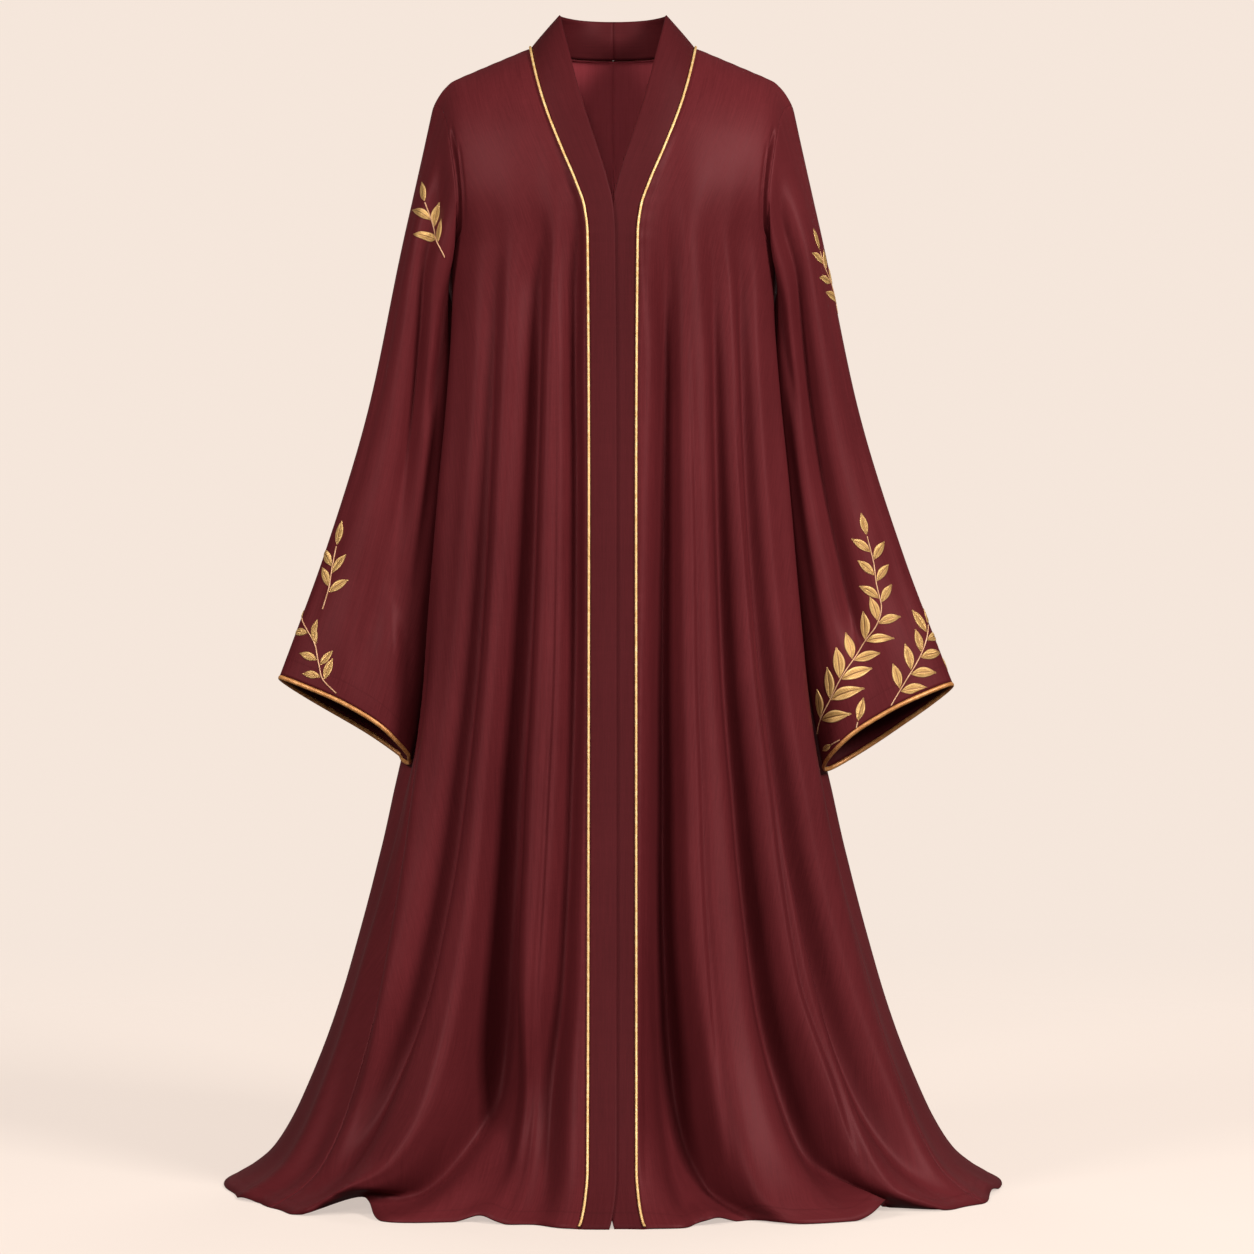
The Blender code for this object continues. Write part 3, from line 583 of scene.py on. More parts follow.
def add_grid(shape, uv, points, flat):
    """Adds a sheet through a grid of points, with their flat places as its UVs."""
    down, across = points.shape[0] - 1, points.shape[1] - 1
    verts = bmesh.ops.create_grid(shape, x_segments=across, y_segments=down, size=0.5)["verts"]
    spots = {v: (round((v.co.y + 0.5) * down), round((v.co.x + 0.5) * across)) for v in verts}
    for face in {face for vert in verts for face in vert.link_faces}:
        face.smooth = True
        for corner in face.loops:
            corner[uv].uv = flat[spots[corner.vert]]
    for vert, spot in spots.items():
        vert.co = points[spot]
    return spots


def as_mesh(name, shape):
    mesh = bpy.data.meshes.new(name)
    shape.to_mesh(mesh)
    shape.free()
    return mesh


SAME_PLACE = 1e-7        # points nearer than this are one


def cloth_mesh(name, grid, outward, tube):
    """A sheet through a grid of points, with its place on the flat cloth, in metres, as its UVs."""
    across, down = away_from(grid, "start"), away_from(grid, "top")
    shape = bmesh.new()
    uv = shape.loops.layers.uv.new("cut")
    spots = add_grid(shape, uv, grid, np.stack([across, down[-1:] - down], -1))
    shape.normal_update()
    face = next(iter(shape.faces))
    r, c = (min(spots[vert][k] for vert in face.verts) for k in (0, 1))
    expected = outward_normals(grid[r:r + 2, c:c + 2], outward)[0, 0]
    if face.normal.dot(Vector(expected)) < 0:
        bmesh.ops.reverse_faces(shape, faces=shape.faces)
    if tube:
        bmesh.ops.remove_doubles(shape, verts=shape.verts, dist=SAME_PLACE)
    return as_mesh(name, shape)


def make_cloth(name, side, grid, outward, wall, right_side, wrong_side):
    mesh = cloth_mesh(f"cloth_{name}_{side}", grid, outward, name == "sleeve")
    piece = link(mesh.name, mesh, [right_side, wrong_side])
    thickness = piece.modifiers.new("cloth", "SOLIDIFY")
    thickness.thickness = wall
    thickness.offset = -1
    thickness.material_offset = 1
    thickness.material_offset_rim = 0
    return tied(piece, f"{name}_{side}")


# ---- Sleeves, neckband and trims -------------------------------------------------------
SleeveCrease = namedtuple("SleeveCrease", "top cuff width start end depth")
SLEEVE_CREASES = both_sides(SleeveCrease, {
    "right": (
        (58, 140, 11, 0.02, 0.85, 0.026), (138, 92, 7, 0.01, 0.46, 0.014),
        (30, 38, 6, 0.04, 0.6, 0.003),
        (146, 160, 6, 0.06, 0.85, 0.0035), (30, 38, 7, 0.3, 1.05, 0.003),
        (208, 214, 7, 0.1, 0.9, 0.004), (254, 258, 6, 0.02, 0.7, 0.0045),
        (310, 304, 7, 0.08, 0.95, 0.0035), (268, 262, 4, 0.01, 0.3, 0.003)),
    "left": (
        (82, 112, 11, 0.02, 0.9, 0.028), (138, 92, 7, 0.01, 0.46, 0.014),
        (28, 36, 6, 0.04, 0.6, 0.003),
        (150, 158, 6, 0.08, 0.88, 0.0034), (34, 44, 7, 0.26, 1.05, 0.0032),
        (204, 212, 7, 0.08, 0.92, 0.004), (258, 250, 6, 0.02, 0.74, 0.0042),
        (306, 312, 7, 0.1, 0.9, 0.0036), (272, 268, 4, 0.01, 0.32, 0.003)),
})


CUFF_SMOOTH = 0.8        # share of the sleeve's folds that is gone at the cuff
CUFF_SMOOTH_FROM, FOLDS_GO_OVER, CREASES_GO_OVER = 0.80, 0.2, 0.16
SLEEVE_FOLD_GROWS_OVER, SLEEVE_CREASE_GROWS_OVER, SLEEVE_CREASE_FADES_OVER = 0.35, 0.10, 0.14
SLEEVE_CREASE_DEPTH, SLEEVE_CREASE_SPREAD = 0.55, 1.4


def ring_points(side, share, turn):
    """Points of the sleeve with its folds, for the +X side, apart from its armhole."""
    share, turn = np.broadcast_arrays(share, turn)
    outer = [follow(SLEEVE_RINGS, "outer_x", share), -follow(SLEEVE_RINGS, "outer_drop", share)]
    inner = [follow(SLEEVE_RINGS, "inner_x", share), -follow(SLEEVE_RINGS, "inner_drop", share)]
    if side == "left":
        low = share ** 3
        outer = [outer[0] + LEFT_CUFF.outer_x * low, outer[1] - LEFT_CUFF.outer_drop * low]
        inner = [inner[0] + LEFT_CUFF.inner_x * low, inner[1] - LEFT_CUFF.inner_drop * low]
    middle_y = follow(SLEEVE_RINGS, "middle_y", share)
    middle = np.stack([(outer[0] + inner[0]) / 2, middle_y, (outer[1] + inner[1]) / 2], -1)
    forward = np.sin(turn) * (1 - CUFF_POINT * share * np.cos(turn))
    tilt = (CUFF_TILT[side] * forward + CUFF_BOW[side] * forward ** 2) * share ** 2
    point = middle + np.stack([(outer[0] - inner[0]) / 2 * np.cos(turn),
                               -follow(SLEEVE_RINGS, "depth", share) * forward,
                               (outer[1] - inner[1]) / 2 * np.cos(turn) + tilt], -1)
    degrees = np.degrees(turn)
    inward = np.zeros_like(share, float)
    for fold in SLEEVE_FOLDS[side]:
        centre = fold.top + (fold.cuff - fold.top) * share
        inward += (fold.depth * ease((share - fold.start) / SLEEVE_FOLD_GROWS_OVER)
                   * bell(degrees - centre, fold.spread)
                   * (1 - CUFF_SMOOTH * ease((share - CUFF_SMOOTH_FROM) / FOLDS_GO_OVER)))
    for crease in SLEEVE_CREASES[side]:
        centre = crease.top + (crease.cuff - crease.top) * share
        grown = (ease((share - crease.start) / SLEEVE_CREASE_GROWS_OVER)
                 * ease((crease.end - share) / SLEEVE_CREASE_FADES_OVER)
                 * (1 - ease((share - CUFF_SMOOTH_FROM) / CREASES_GO_OVER)))
        inward += (SLEEVE_CREASE_DEPTH * crease.depth * grown
                   * bell(degrees - centre, crease.width * SLEEVE_CREASE_SPREAD))
    return point + unit(middle - point) * inward[..., None]


REACH_TO, REACH_DROPS = 0.97, 200          # the table of how far out the body lies
REACH_FORWARD, REACH_COLUMNS = 0.22, 177


def body_reach(side):
    """How far out the body lies beside a sleeve, as a table by drop and by distance forward."""
    drops = np.linspace(BESIDE_FROM - 0.01, REACH_TO, REACH_DROPS)
    forward = np.linspace(-REACH_FORWARD, REACH_FORWARD, REACH_COLUMNS)
    angles = np.arange(SIDE_FROM, SIDE_TO, SIDE_STEP / 2)
    reach = np.empty((len(drops), len(forward)))
    for number, drop in enumerate(drops):
        x, y, _ = section_points(side, angles, drop)
        reach[number] = np.interp(forward, y, x, left=0, right=0)
    return drops, forward, reach


def between(values, row, column):
    """The values of a grid at places between its rows and columns."""
    row = np.clip(row, 0, values.shape[0] - 1 - 1e-6)
    column = np.clip(column, 0, values.shape[1] - 1 - 1e-6)
    i, j = row.astype(int), column.astype(int)
    s, t = row - i, column - j
    if values.ndim > 2:
        s, t = s[..., None], t[..., None]
    upper = values[i, j] * (1 - t) + values[i, j + 1] * t
    lower = values[i + 1, j] * (1 - t) + values[i + 1, j + 1] * t
    return upper * (1 - s) + lower * s


def looked_up(table, drop, y):
    drops, forward, reach = table
    return between(reach, (drop - drops[0]) / (drops[1] - drops[0]),
                   (y - forward[0]) / (forward[1] - forward[0]))


BINDING_SPACE_FROM, BINDING_SPACE_OVER, UNDERARM_SPACE_TO = 0.88, 0.08, 0.30


def beside_body(side, share, turn, points):
    """Keeps a sleeve's points, for the +X side, clear of the body."""
    table = body_reach(side)
    by_binding = ease((share - BINDING_SPACE_FROM) / BINDING_SPACE_OVER)
    turned_in = np.sqrt(np.maximum(0, -np.cos(turn)))
    clearance = (SLEEVE_CLEARANCE + (BINDING_CLEARANCE - SLEEVE_CLEARANCE) * by_binding
                 + UNDERARM_SPACE * turned_in * (1 - ease(share / UNDERARM_SPACE_TO)))
    least = np.maximum(looked_up(table, -points[..., 2], points[..., 1]),
                       looked_up(table, -points[..., 2] + SLEEVE_CLEARANCE * 4, points[..., 1]))
    beside = (points[..., 2] <= -BESIDE_FROM) & (least > 0)
    x = np.where(beside, np.maximum(points[..., 0], least + clearance), points[..., 0])
    return np.stack([x, points[..., 1], points[..., 2]], -1)


def sleeve_grid(side, armhole_drops):
    """Rings of points down a sleeve, the first of them at the armhole of the two panels."""
    front = front_points(side, 1.0, armhole_drops)
    back = back_points(side, 1.0, armhole_drops)
    loop = np.concatenate([front, back[-2::-1]])
    turns = np.linspace(0, 2 * math.pi, len(loop))
    shares = np.linspace(0, 1, SLEEVE_ROWS + 1)
    share, turn = shares[:, None], turns[None, :]
    held = 1 - ease(share / ARMHOLE_EASE)
    grid = ring_points(side, share, turn)
    grid = grid + (loop - ring_points(side, np.zeros(1), turns)) * held[..., None]
    grid[1:] = beside_body(side, share[1:], turn, grid[1:])
    return with_side(side, grid)


NECK_STEPS = 28
NECK_BAND_UP, NECK_BAND_FORWARD = 0.006, 0.004      # more than the table says, behind the neck
OVERLAP_FROM, OVERLAP_OVER, OVERLAP_ACROSS = 0.14, 0.07, 0.6
BAND_BOW, BAND_BOW_TO = 0.003, 0.2


def band_grid(side):
    """Points of the neckband from the centre back over the shoulder and down to the hem."""
    neck = np.linspace(0, 1, NECK_STEPS)[:-1]
    drops = np.concatenate(row_drops())
    seam = np.concatenate([back_points(side, neck * NECK_SHARE, np.zeros_like(neck)),
                           front_points(side, 0.0, drops)])
    drop = np.concatenate([np.zeros_like(neck), drops])
    turn = np.concatenate([neck, np.ones_like(drops)]) * math.pi / 2
    behind = drop == 0
    inward = follow(BAND, "inward", drop) * np.where(behind, np.sin(turn), 1)
    up = follow(BAND, "up", drop) + np.where(behind, NECK_BAND_UP * np.cos(turn), 0)
    forward = (follow(BAND, "forward", drop)
               + np.where(behind, NECK_BAND_FORWARD * np.cos(turn), 0))
    edge = seam + np.stack([-inward, -forward, up], -1)
    across = np.linspace(0, 1, BAND_COLUMNS + 1)[None, :, None]
    grid = seam[:, None] + (edge - seam)[:, None] * across
    lift = BAND_OVERLAP_LIFT * ease((drop - OVERLAP_FROM) / OVERLAP_OVER) * -SIDES[side]
    bow = BAND_BOW * np.sin(math.pi * across[..., 0]) * (1 - ease(drop / BAND_BOW_TO))[:, None]
    grid[..., 1] -= lift[:, None] * ease(across[..., 0] / OVERLAP_ACROSS) + bow
    return with_side(side, grid)


def tube_mesh(name, line, up, profile, closed):
    """A tube along a line. profile gives the two half-widths at each step and place round it."""
    along = np.gradient(line, axis=0)
    if closed:
        ends = line[1] - line[-2]
        along[0], along[-1] = ends, ends
    along = unit(along)
    across = unit(np.cross(along, up))
    up = np.cross(across, along)
    round_it = np.linspace(0, 2 * math.pi, profile.shape[1])
    grid = (line[:, None] + up[:, None] * (profile[..., 0] * np.sin(round_it))[..., None]
            + across[:, None] * (profile[..., 1] * np.cos(round_it))[..., None])
    flat = [round_it / round_it[-1] + 0 * grid[..., 0], run_along(line)[:, None] + 0 * grid[..., 0]]
    shape = bmesh.new()
    add_grid(shape, shape.loops.layers.uv.new("cut"), grid, np.stack(flat, -1))
    bmesh.ops.remove_doubles(shape, verts=shape.verts, dist=SAME_PLACE)
    if not closed:
        bmesh.ops.holes_fill(shape, edges=[e for e in shape.edges if e.is_boundary], sides=0)
    bmesh.ops.recalc_face_normals(shape, faces=shape.faces)
    return as_mesh(name, shape)


def spaced_along(path, ways, step):
    """The path and the ways out of the cloth beside it, at even steps."""
    run = run_along(path)
    at = np.linspace(0, run[-1], max(2, int(run[-1] / step)) + 1)
    line = np.stack([np.interp(at, run, path[:, k]) for k in range(3)], -1)
    up = np.stack([np.interp(at, run, ways[:, k]) for k in range(3)], -1)
    return line, unit(up), at


PIPING_STRANDS = 3
PIPING_PITCH = 0.0075
PIPING_STEP = 0.0010
PIPING_SIDES = 12
PIPING_SUNK = 0.6        # of the seam's own depth
PIPING_CORE, PIPING_STRAND = 0.80, 0.24


def make_piping(side, band, outward, material):
    """A twisted gold cord laid over the seam between the neckband and the panels."""
    way = unit(outward_normals(band, outward)[:, 0])
    path = band[:, 0] + way * (PIPING_RADIUS + SEAM_GAP - SEAM_SINK * PIPING_SUNK)
    path[0, 0] += SIDES[side] * PIPING_JOIN
    path[-1, 2] = -LENGTH + PIPING_END
    line, up, run = spaced_along(path, way, PIPING_STEP)
    round_it = np.linspace(0, 2 * math.pi, PIPING_SIDES + 1)[None, :]
    phase = PIPING_STRANDS * (round_it - 2 * math.pi * run[:, None] / PIPING_PITCH) / 2
    radius = PIPING_RADIUS * (PIPING_CORE + PIPING_STRAND * np.abs(np.cos(phase)))
    mesh = tube_mesh(f"gold_piping_{side}", line, up, np.stack([radius, radius], -1), False)
    return tied(link(mesh.name, mesh, [material]), f"piping_{side}")


BINDING_HALF_DEPTH = 0.0027
BINDING_HALF_THICKNESS = 0.0019
BINDING_STITCH = 0.0022
BINDING_STEP = 0.00045
BINDING_SIDES = 12
BINDING_RELIEF = 0.07


def make_binding(side, sleeve, outward, material):
    """Gold binding sewn over the edge of the cuff with close stitches."""
    normals = outward_normals(sleeve, outward, closed=True)[-1]
    along = unit(sleeve[-1] - sleeve[-2])
    path = sleeve[-1] + along * (BINDING_RADIUS + BINDING_GAP) - normals * WALL / 2
    line, up, run = spaced_along(path, normals, BINDING_STEP)
    stitch = 1 + BINDING_RELIEF * np.abs(np.sin(math.pi * run / BINDING_STITCH))
    profile = stitch[:, None, None] * np.array([BINDING_HALF_THICKNESS, BINDING_HALF_DEPTH])
    profile = np.repeat(profile, BINDING_SIDES + 1, axis=1)
    mesh = tube_mesh(f"gold_binding_{side}", line, up, profile, True)
    return tied(link(mesh.name, mesh, [material]), f"binding_{side}")


# ---- Leaf embroidery -------------------------------------------------------------------
# A sprig's stem runs from its foot to its tip through places given by share of the sleeve's
# length and by turn round it in degrees: 0 outermost, 90 front, 180 innermost. Its leaves
# stand in pairs, a gap apart, from first below the tip, at an angle from the stem.
Sprig = namedtuple("Sprig", "places pairs first gap angle leaf")
SPRIGS = both_sides(Sprig, {
    "right": (
        (((0.119, 104.6), (0.134, 82.9), (0.132, 68.4), (0.137, 47.3)), 2, 0.025, 0.029, 40, 0.032),
        (((0.84, 44.3), (0.8, 43.1), (0.761, 37.1), (0.725, 33.1)), 2, 0.027, 0.027, 43, 0.032),
        (((0.992, 82.1), (0.975, 67.9), (0.948, 60.6), (0.912, 51.1)), 2, 0.02, 0.022, 58, 0.029),
        (((0.948, 60.6), (0.91, 49.6), (0.885, 28), (0.872, 12)), 1, 0.026, 0.026, 46, 0.027),
        (((0.99, -16), (0.95, -24), (0.905, -30), (0.862, -34)), 3, 0.022, 0.026, 42, 0.032),
    ),
    "left": (
        (((0.345, -4), (0.321, 4.3), (0.292, 17.8), (0.257, 29.6), (0.234, 33.1)),
         3, 0.018, 0.027, 43, 0.031),
        (((0.94, 174), (0.893, 130.4), (0.851, 98.9), (0.834, 80), (0.803, 69.6), (0.766, 68.1),
          (0.726, 64.3), (0.683, 63.1)), 9, 0.022, 0.0298, 43, 0.031),
        (((0.997, 88.6), (0.962, 69.9), (0.922, 44.8), (0.876, 16.3)),
         4, 0.013, 0.0285, 46, 0.0345),
        (((0.999, 121), (0.99, 118.7)), 0, 0, 0, 0, 0.033),
        (((0.996, 140), (0.99, 150)), 0, 0, 0, 0, 0.024),
        (((0.99, -14), (0.95, -22), (0.905, -28)), 2, 0.022, 0.026, 42, 0.031),
    ),
})
LEAF_WIDTH = 0.365        # of its length
LEAF_HEIGHT = 0.0011
LEAF_ACROSS, LEAF_ALONG = 12, 20
STEM_RADIUS = 0.00075
STEM_STEPS = 12
LOWER_LEAF_GROWTH = 0.42  # how much longer the lowest leaves of a long sprig are
LONG_SPRIG, GROWTH_CURVE = 0.24, 1.6
STAGGER = 0.34           # of a gap, by which the leaves near the tip alternate
COURSE_REACH = 0.008     # how far each way a stem's course is measured at a leaf
LEAF_TURN = 6            # degrees by which leaves are turned at random
LEAF_SIZES = (0.92, 1.08)
LEAF_BEND, LEAF_BEND_VARIES = 0.035, 0.012
SPRAY_SEEDS = {"right": 7, "left": 11}
NEXT_TO_BINDING = 0.994


class Sleeve:
    """The finished surface of a sleeve, on which embroidery is laid."""

    def __init__(self, grid, outward):
        self.grid = grid
        self.normals = outward_normals(grid, outward, closed=True)

    def sample(self, values, share, turn):
        turned = np.mod(np.asarray(turn) / (2 * math.pi), 1)
        return between(values, np.asarray(share) * (values.shape[0] - 1),
                       turned * (values.shape[1] - 1))

    def point(self, share, turn):
        return self.sample(self.grid, share, turn)

    def normal(self, share, turn):
        return unit(self.sample(self.normals, share, turn))

    def frame_at(self, share, turn):
        """Up and rightwards on the cloth, and how share and turn change along it."""
        step, swing = 0.012, 0.10
        share = min(share, 1 - step)
        down = (self.point(share + step, turn) - self.point(share - step, turn)) / (2 * step)
        around = (self.point(share, turn + swing) - self.point(share, turn - swing)) / (2 * swing)
        normal = self.normal(share, turn)
        up = unit(np.array([0, 0, 1.0]) - normal * normal[2])
        right = np.cross(up, -normal) * -1
        gram = np.array([[down @ down, down @ around], [down @ around, around @ around]])
        return up, right, down, around, np.linalg.inv(gram)

    def moved(self, share, turn, ups, rights):
        """Places at given distances up and right of one place, along the cloth."""
        up, right, down, around, inverse = self.frame_at(share, turn)
        offset = np.asarray(ups)[..., None] * up + np.asarray(rights)[..., None] * right
        start = self.point(share, turn)
        shares, turns = share + 0 * offset[..., 0], turn + 0 * offset[..., 0]
        for _ in range(4):
            left = offset - (self.point(shares, turns) - start)
            left = left - (left @ self.normal(share, turn))[..., None] * self.normal(share, turn)
            parts = np.stack([left @ down, left @ around], -1) @ inverse
            shares, turns = shares + parts[..., 0], turns + parts[..., 1]
        return np.clip(shares, 0.0, NEXT_TO_BINDING), turns


# A leaf by share of its length: its blade, the nub at its tip, and its rib and rim, which are
# given by share of half its width, with their depth and height by share of LEAF_HEIGHT.
BLADE_FROM, BLADE_LENGTH, NUB_AT, NUB_HALF_LENGTH = 0.07, 0.88, 0.955, 0.045
NUB_WIDTH, STALK_WIDTH, STALK_TO, LEAST_WIDTH = 0.15, 0.08, 0.5, 0.012
RIB_DEPTH, RIB_SPREAD, RIB_TO = 0.45, 0.13, 0.9
RIM_HEIGHT, RIM_AT, RIM_SPREAD = 0.22, 0.80, 0.12
EDGE_SUNK = 0.0002       # how far a leaf's edge lies in the cloth


def leaf_outline(along):
    """Half the width of a leaf along its length, with a small nub at its tip."""
    blade = np.sin(math.pi * np.clip((along - BLADE_FROM) / BLADE_LENGTH, 0, 1) ** 0.95) ** 0.90
    nub = NUB_WIDTH * np.sqrt(np.maximum(0, 1 - ((along - NUB_AT) / NUB_HALF_LENGTH) ** 2))
    stalk = STALK_WIDTH * (along < STALK_TO)
    return np.maximum(np.maximum(blade, nub), stalk) * (along < 0.9999) + LEAST_WIDTH


def leaf_grid(sleeve, share, turn, heading, length, bend):
    """Points of one leaf from its stalk to its tip, and its own flat places."""
    along = np.linspace(0, 1, LEAF_ALONG + 1)[:, None]
    across = np.linspace(-1, 1, LEAF_ACROSS + 1)[None, :]
    half = length * LEAF_WIDTH / 2
    forth = length * along + 0 * across
    aside = half * leaf_outline(along) * across + bend * length * np.sin(math.pi * along)
    ups = forth * math.cos(heading) - aside * math.sin(heading)
    rights = forth * math.sin(heading) + aside * math.cos(heading)
    shares, turns = sleeve.moved(share, turn, ups, rights)
    dome = np.sqrt(np.maximum(0, 1 - across ** 2)) ** 0.7 * np.minimum(1, leaf_outline(along) * 1.6)
    rib = RIB_DEPTH * bell(across, RIB_SPREAD) * (along < RIB_TO)
    rim = RIM_HEIGHT * bell(np.abs(across) - RIM_AT, RIM_SPREAD)
    height = LEAF_HEIGHT * (dome * (1 - rib) + rim * dome) - EDGE_SUNK * (1 - dome)
    points = sleeve.point(shares, turns) + sleeve.normal(shares, turns) * height[..., None]
    flat = np.stack([across + 0 * along, along + 0 * across], -1)
    return points, flat


def stem_line(sleeve, places):
    """A stem as a smooth line through its places: its shares and turns, and its run."""
    places = np.array(places, float)
    marks = np.arange(len(places))
    fine = np.linspace(0, marks[-1], (len(places) - 1) * STEM_STEPS + 1)
    shares = smooth_line(marks, places[:, 0], fine)
    turns = smooth_line(marks, np.radians(places[:, 1]), fine)
    return shares, turns, run_along(sleeve.point(shares, turns))


def make_sprays(side, sleeve, thread, stem_thread):
    """All leaves of a sleeve as one piece, and all of its stems as another."""
    draw = np.random.default_rng(SPRAY_SEEDS[side])
    leaves, stems = [], []
    for sprig in SPRIGS[side]:
        shares, turns, run = stem_line(sleeve, sprig.places)
        total = run[-1]
        stems.append((shares, turns))
        spots = [(total, 0.0, 1.0)]
        for pair in range(sprig.pairs):
            for hand in (-1, 1):
                apart = STAGGER * max(0.0, 1 - pair / 4) if hand > 0 else 0.0
                back = sprig.first + (pair + apart) * sprig.gap
                if back < total:
                    grown = min(1.0, back / LONG_SPRIG) ** GROWTH_CURVE
                    spots.append((total - back, hand, 1 + LOWER_LEAF_GROWTH * grown))
        for at, hand, size in spots:
            share, turn = np.interp(at, run, shares), np.interp(at, run, turns)
            lower, upper = max(0, at - COURSE_REACH), min(total, at + COURSE_REACH)
            foot = sleeve.point(np.interp(lower, run, shares), np.interp(lower, run, turns))
            head = sleeve.point(np.interp(upper, run, shares), np.interp(upper, run, turns))
            up, right, *_ = sleeve.frame_at(share, turn)
            course = math.atan2((head - foot) @ right, (head - foot) @ up)
            turned = draw.uniform(-LEAF_TURN, LEAF_TURN)
            heading = course + hand * math.radians(sprig.angle + turned)
            length = sprig.leaf * size * draw.uniform(*LEAF_SIZES)
            bend = -LEAF_BEND * hand + draw.uniform(-LEAF_BEND_VARIES, LEAF_BEND_VARIES)
            leaves.append(leaf_grid(sleeve, share, turn, heading, length, bend))
    return make_leaves(side, leaves, thread), make_stems(side, sleeve, stems, stem_thread)


LEAF_BACKING = 0.0004


def make_leaves(side, leaves, thread):
    shape = bmesh.new()
    uv = shape.loops.layers.uv.new("leaf")
    for points, flat in leaves:
        add_grid(shape, uv, points, flat)
    mesh = as_mesh(f"leaves_{side}", shape)
    piece = link(mesh.name, mesh, [thread])
    backing = piece.modifiers.new("backing", "SOLIDIFY")
    backing.thickness = LEAF_BACKING
    backing.offset = -1
    return tied(piece)


def make_stems(side, sleeve, stems, thread):
    curve = bpy.data.curves.new(f"stems_{side}", "CURVE")
    curve.dimensions = "3D"
    curve.bevel_depth = STEM_RADIUS
    curve.bevel_resolution = 2
    curve.use_fill_caps = True
    for shares, turns in stems:
        points = sleeve.point(shares, turns) + sleeve.normal(shares, turns) * STEM_RADIUS * 0.5
        spline = curve.splines.new("POLY")
        spline.points.add(len(points) - 1)
        for place, point in zip(spline.points, points):
            place.co = (*point, 1)
    return tied(link(curve.name, curve, [thread]))


# ---- Finishes --------------------------------------------------------------------------
def both_ways(operation):
    """An operator of a level, and its form with the level on the right."""
    return (lambda level, other: level.worked(operation, level, other),
            lambda level, other: level.worked(operation, other, level))


class Level:
    """A value of a finish, which can stand in plain sums and products."""

    def __init__(self, finish, socket):
        self.finish = finish
        self.socket = socket

    def worked(self, operation, *values):
        return self.finish.add("ShaderNodeMath", {"operation": operation}, dict(enumerate(values)))

    __add__, __radd__ = both_ways("ADD")
    __sub__, __rsub__ = both_ways("SUBTRACT")
    __mul__, __rmul__ = both_ways("MULTIPLY")
    __truediv__, __rtruediv__ = both_ways("DIVIDE")

    def sine(self):
        return self.worked("SINE", self)

    def size(self):
        return self.worked("ABSOLUTE", self)

    def below(self, other):
        return self.worked("LESS_THAN", self, other)

    def part(self):
        """What is left of it past a whole number."""
        return self.worked("FRACT", self)


class Finish:
    """A material whose nodes are added one by one."""

    def __init__(self, name):
        self.material = bpy.data.materials.new(name)
        self.material.use_nodes = True
        self.tree = self.material.node_tree
        self.shader = self.tree.nodes["Principled BSDF"]
        self.place = self.add("ShaderNodeTexCoord", output="Object")

    def add(self, kind, settings=None, inputs=None, output=0):
        """Adds a node. Its settings come first, and among them are a colour ramp's stops."""
        node = self.tree.nodes.new(kind)
        settings = dict(settings or {})
        stops = settings.pop("stops", ())
        for name, value in settings.items():
            setattr(node, name, value)
        if stops:
            ramp = node.color_ramp
            while len(ramp.elements) < len(stops):
                ramp.elements.new(0.5)
            for element, (place, shade) in zip(ramp.elements, stops):
                element.position = place
                element.color = (*shade, 1)
        for key, value in (inputs or {}).items():
            self.feed(node.inputs[key], value)
        return Level(self, node.outputs[output])

    def feed(self, socket, value):
        if isinstance(value, Level):
            self.tree.links.new(value.socket, socket)
        else:
            socket.default_value = value

    def mixed(self, share, first, second):
        """A colour between two colours."""
        inputs = {0: share, 6: first, 7: second}
        return self.add("ShaderNodeMix", {"data_type": "RGBA"}, inputs, 2)

    def graded(self, tone, places, shades):
        """A colour that changes with tone, through shades at these places."""
        stops = tuple(zip(places, shades))
        return self.add("ShaderNodeValToRGB", {"stops": stops}, {"Fac": tone})

    def flat_place(self, name):
        """A place on the flat cloth or leaf, and its two parts."""
        flat = self.add("ShaderNodeUVMap", {"uv_map": name})
        parts = self.add("ShaderNodeSeparateXYZ", {}, {"Vector": flat})
        return flat, parts, Level(self, parts.socket.node.outputs[1])

    def noise(self, place, scale, stretch=(1, 1, 1), detail=2.0, roughness=0.5):
        """Noise from 0 to 1, stretched along the cloth's own width and length."""
        spot = self.add("ShaderNodeMapping", {}, {"Vector": place, "Scale": stretch})
        inputs = {"Vector": spot, "Scale": scale, "Detail": detail, "Roughness": roughness}
        return self.add("ShaderNodeTexNoise", {"noise_dimensions": "3D"}, inputs)

    def bumped(self, height, distance, strength):
        return self.add("ShaderNodeBump", {}, {"Height": height, "Distance": distance,
                                               "Strength": strength})

    def wear(self, **values):
        """Sets the shader's sockets, by their names with underscores for spaces."""
        for name, value in values.items():
            self.feed(self.shader.inputs[name.replace("_", " ")], value)
        return self.material


# Deep, middle and light shades of each cloth.
WINE = ((0.073, 0.0095, 0.0117), (0.096, 0.0130, 0.0158), (0.120, 0.0165, 0.0200))
# Painted light: the inside's shades are far brighter than the outside's, standing in for light that
# falls in through the front opening.
WINE_PAINTED_LIGHT_INSIDE = ((0.280, 0.0410, 0.0510), (0.330, 0.0500, 0.0620), (0.390, 0.0600, 0.0740))
WINE_BAND = ((0.052, 0.0068, 0.0084), (0.066, 0.0087, 0.0107), (0.080, 0.0107, 0.0132))
SHEEN_TINT = (0.62, 0.16, 0.17, 1)
GLOSS_TINT = (1.0, 0.42, 0.44, 1)
FLOOR_PLAIN_TO, FLOOR_RADIUS = 1.2, 4.4
FLOOR_GLOW = (0.58, 0.50, 0.45, 1)
FLOOR_SHADES = (0.33, 0.285, 0.25, 1), (0.35, 0.302, 0.265, 1)
STITCH_PITCH, STITCH_SHARE, STITCH_HALF, GROOVE_HALF = 0.0034, 0.62, 0.00035, 0.0011


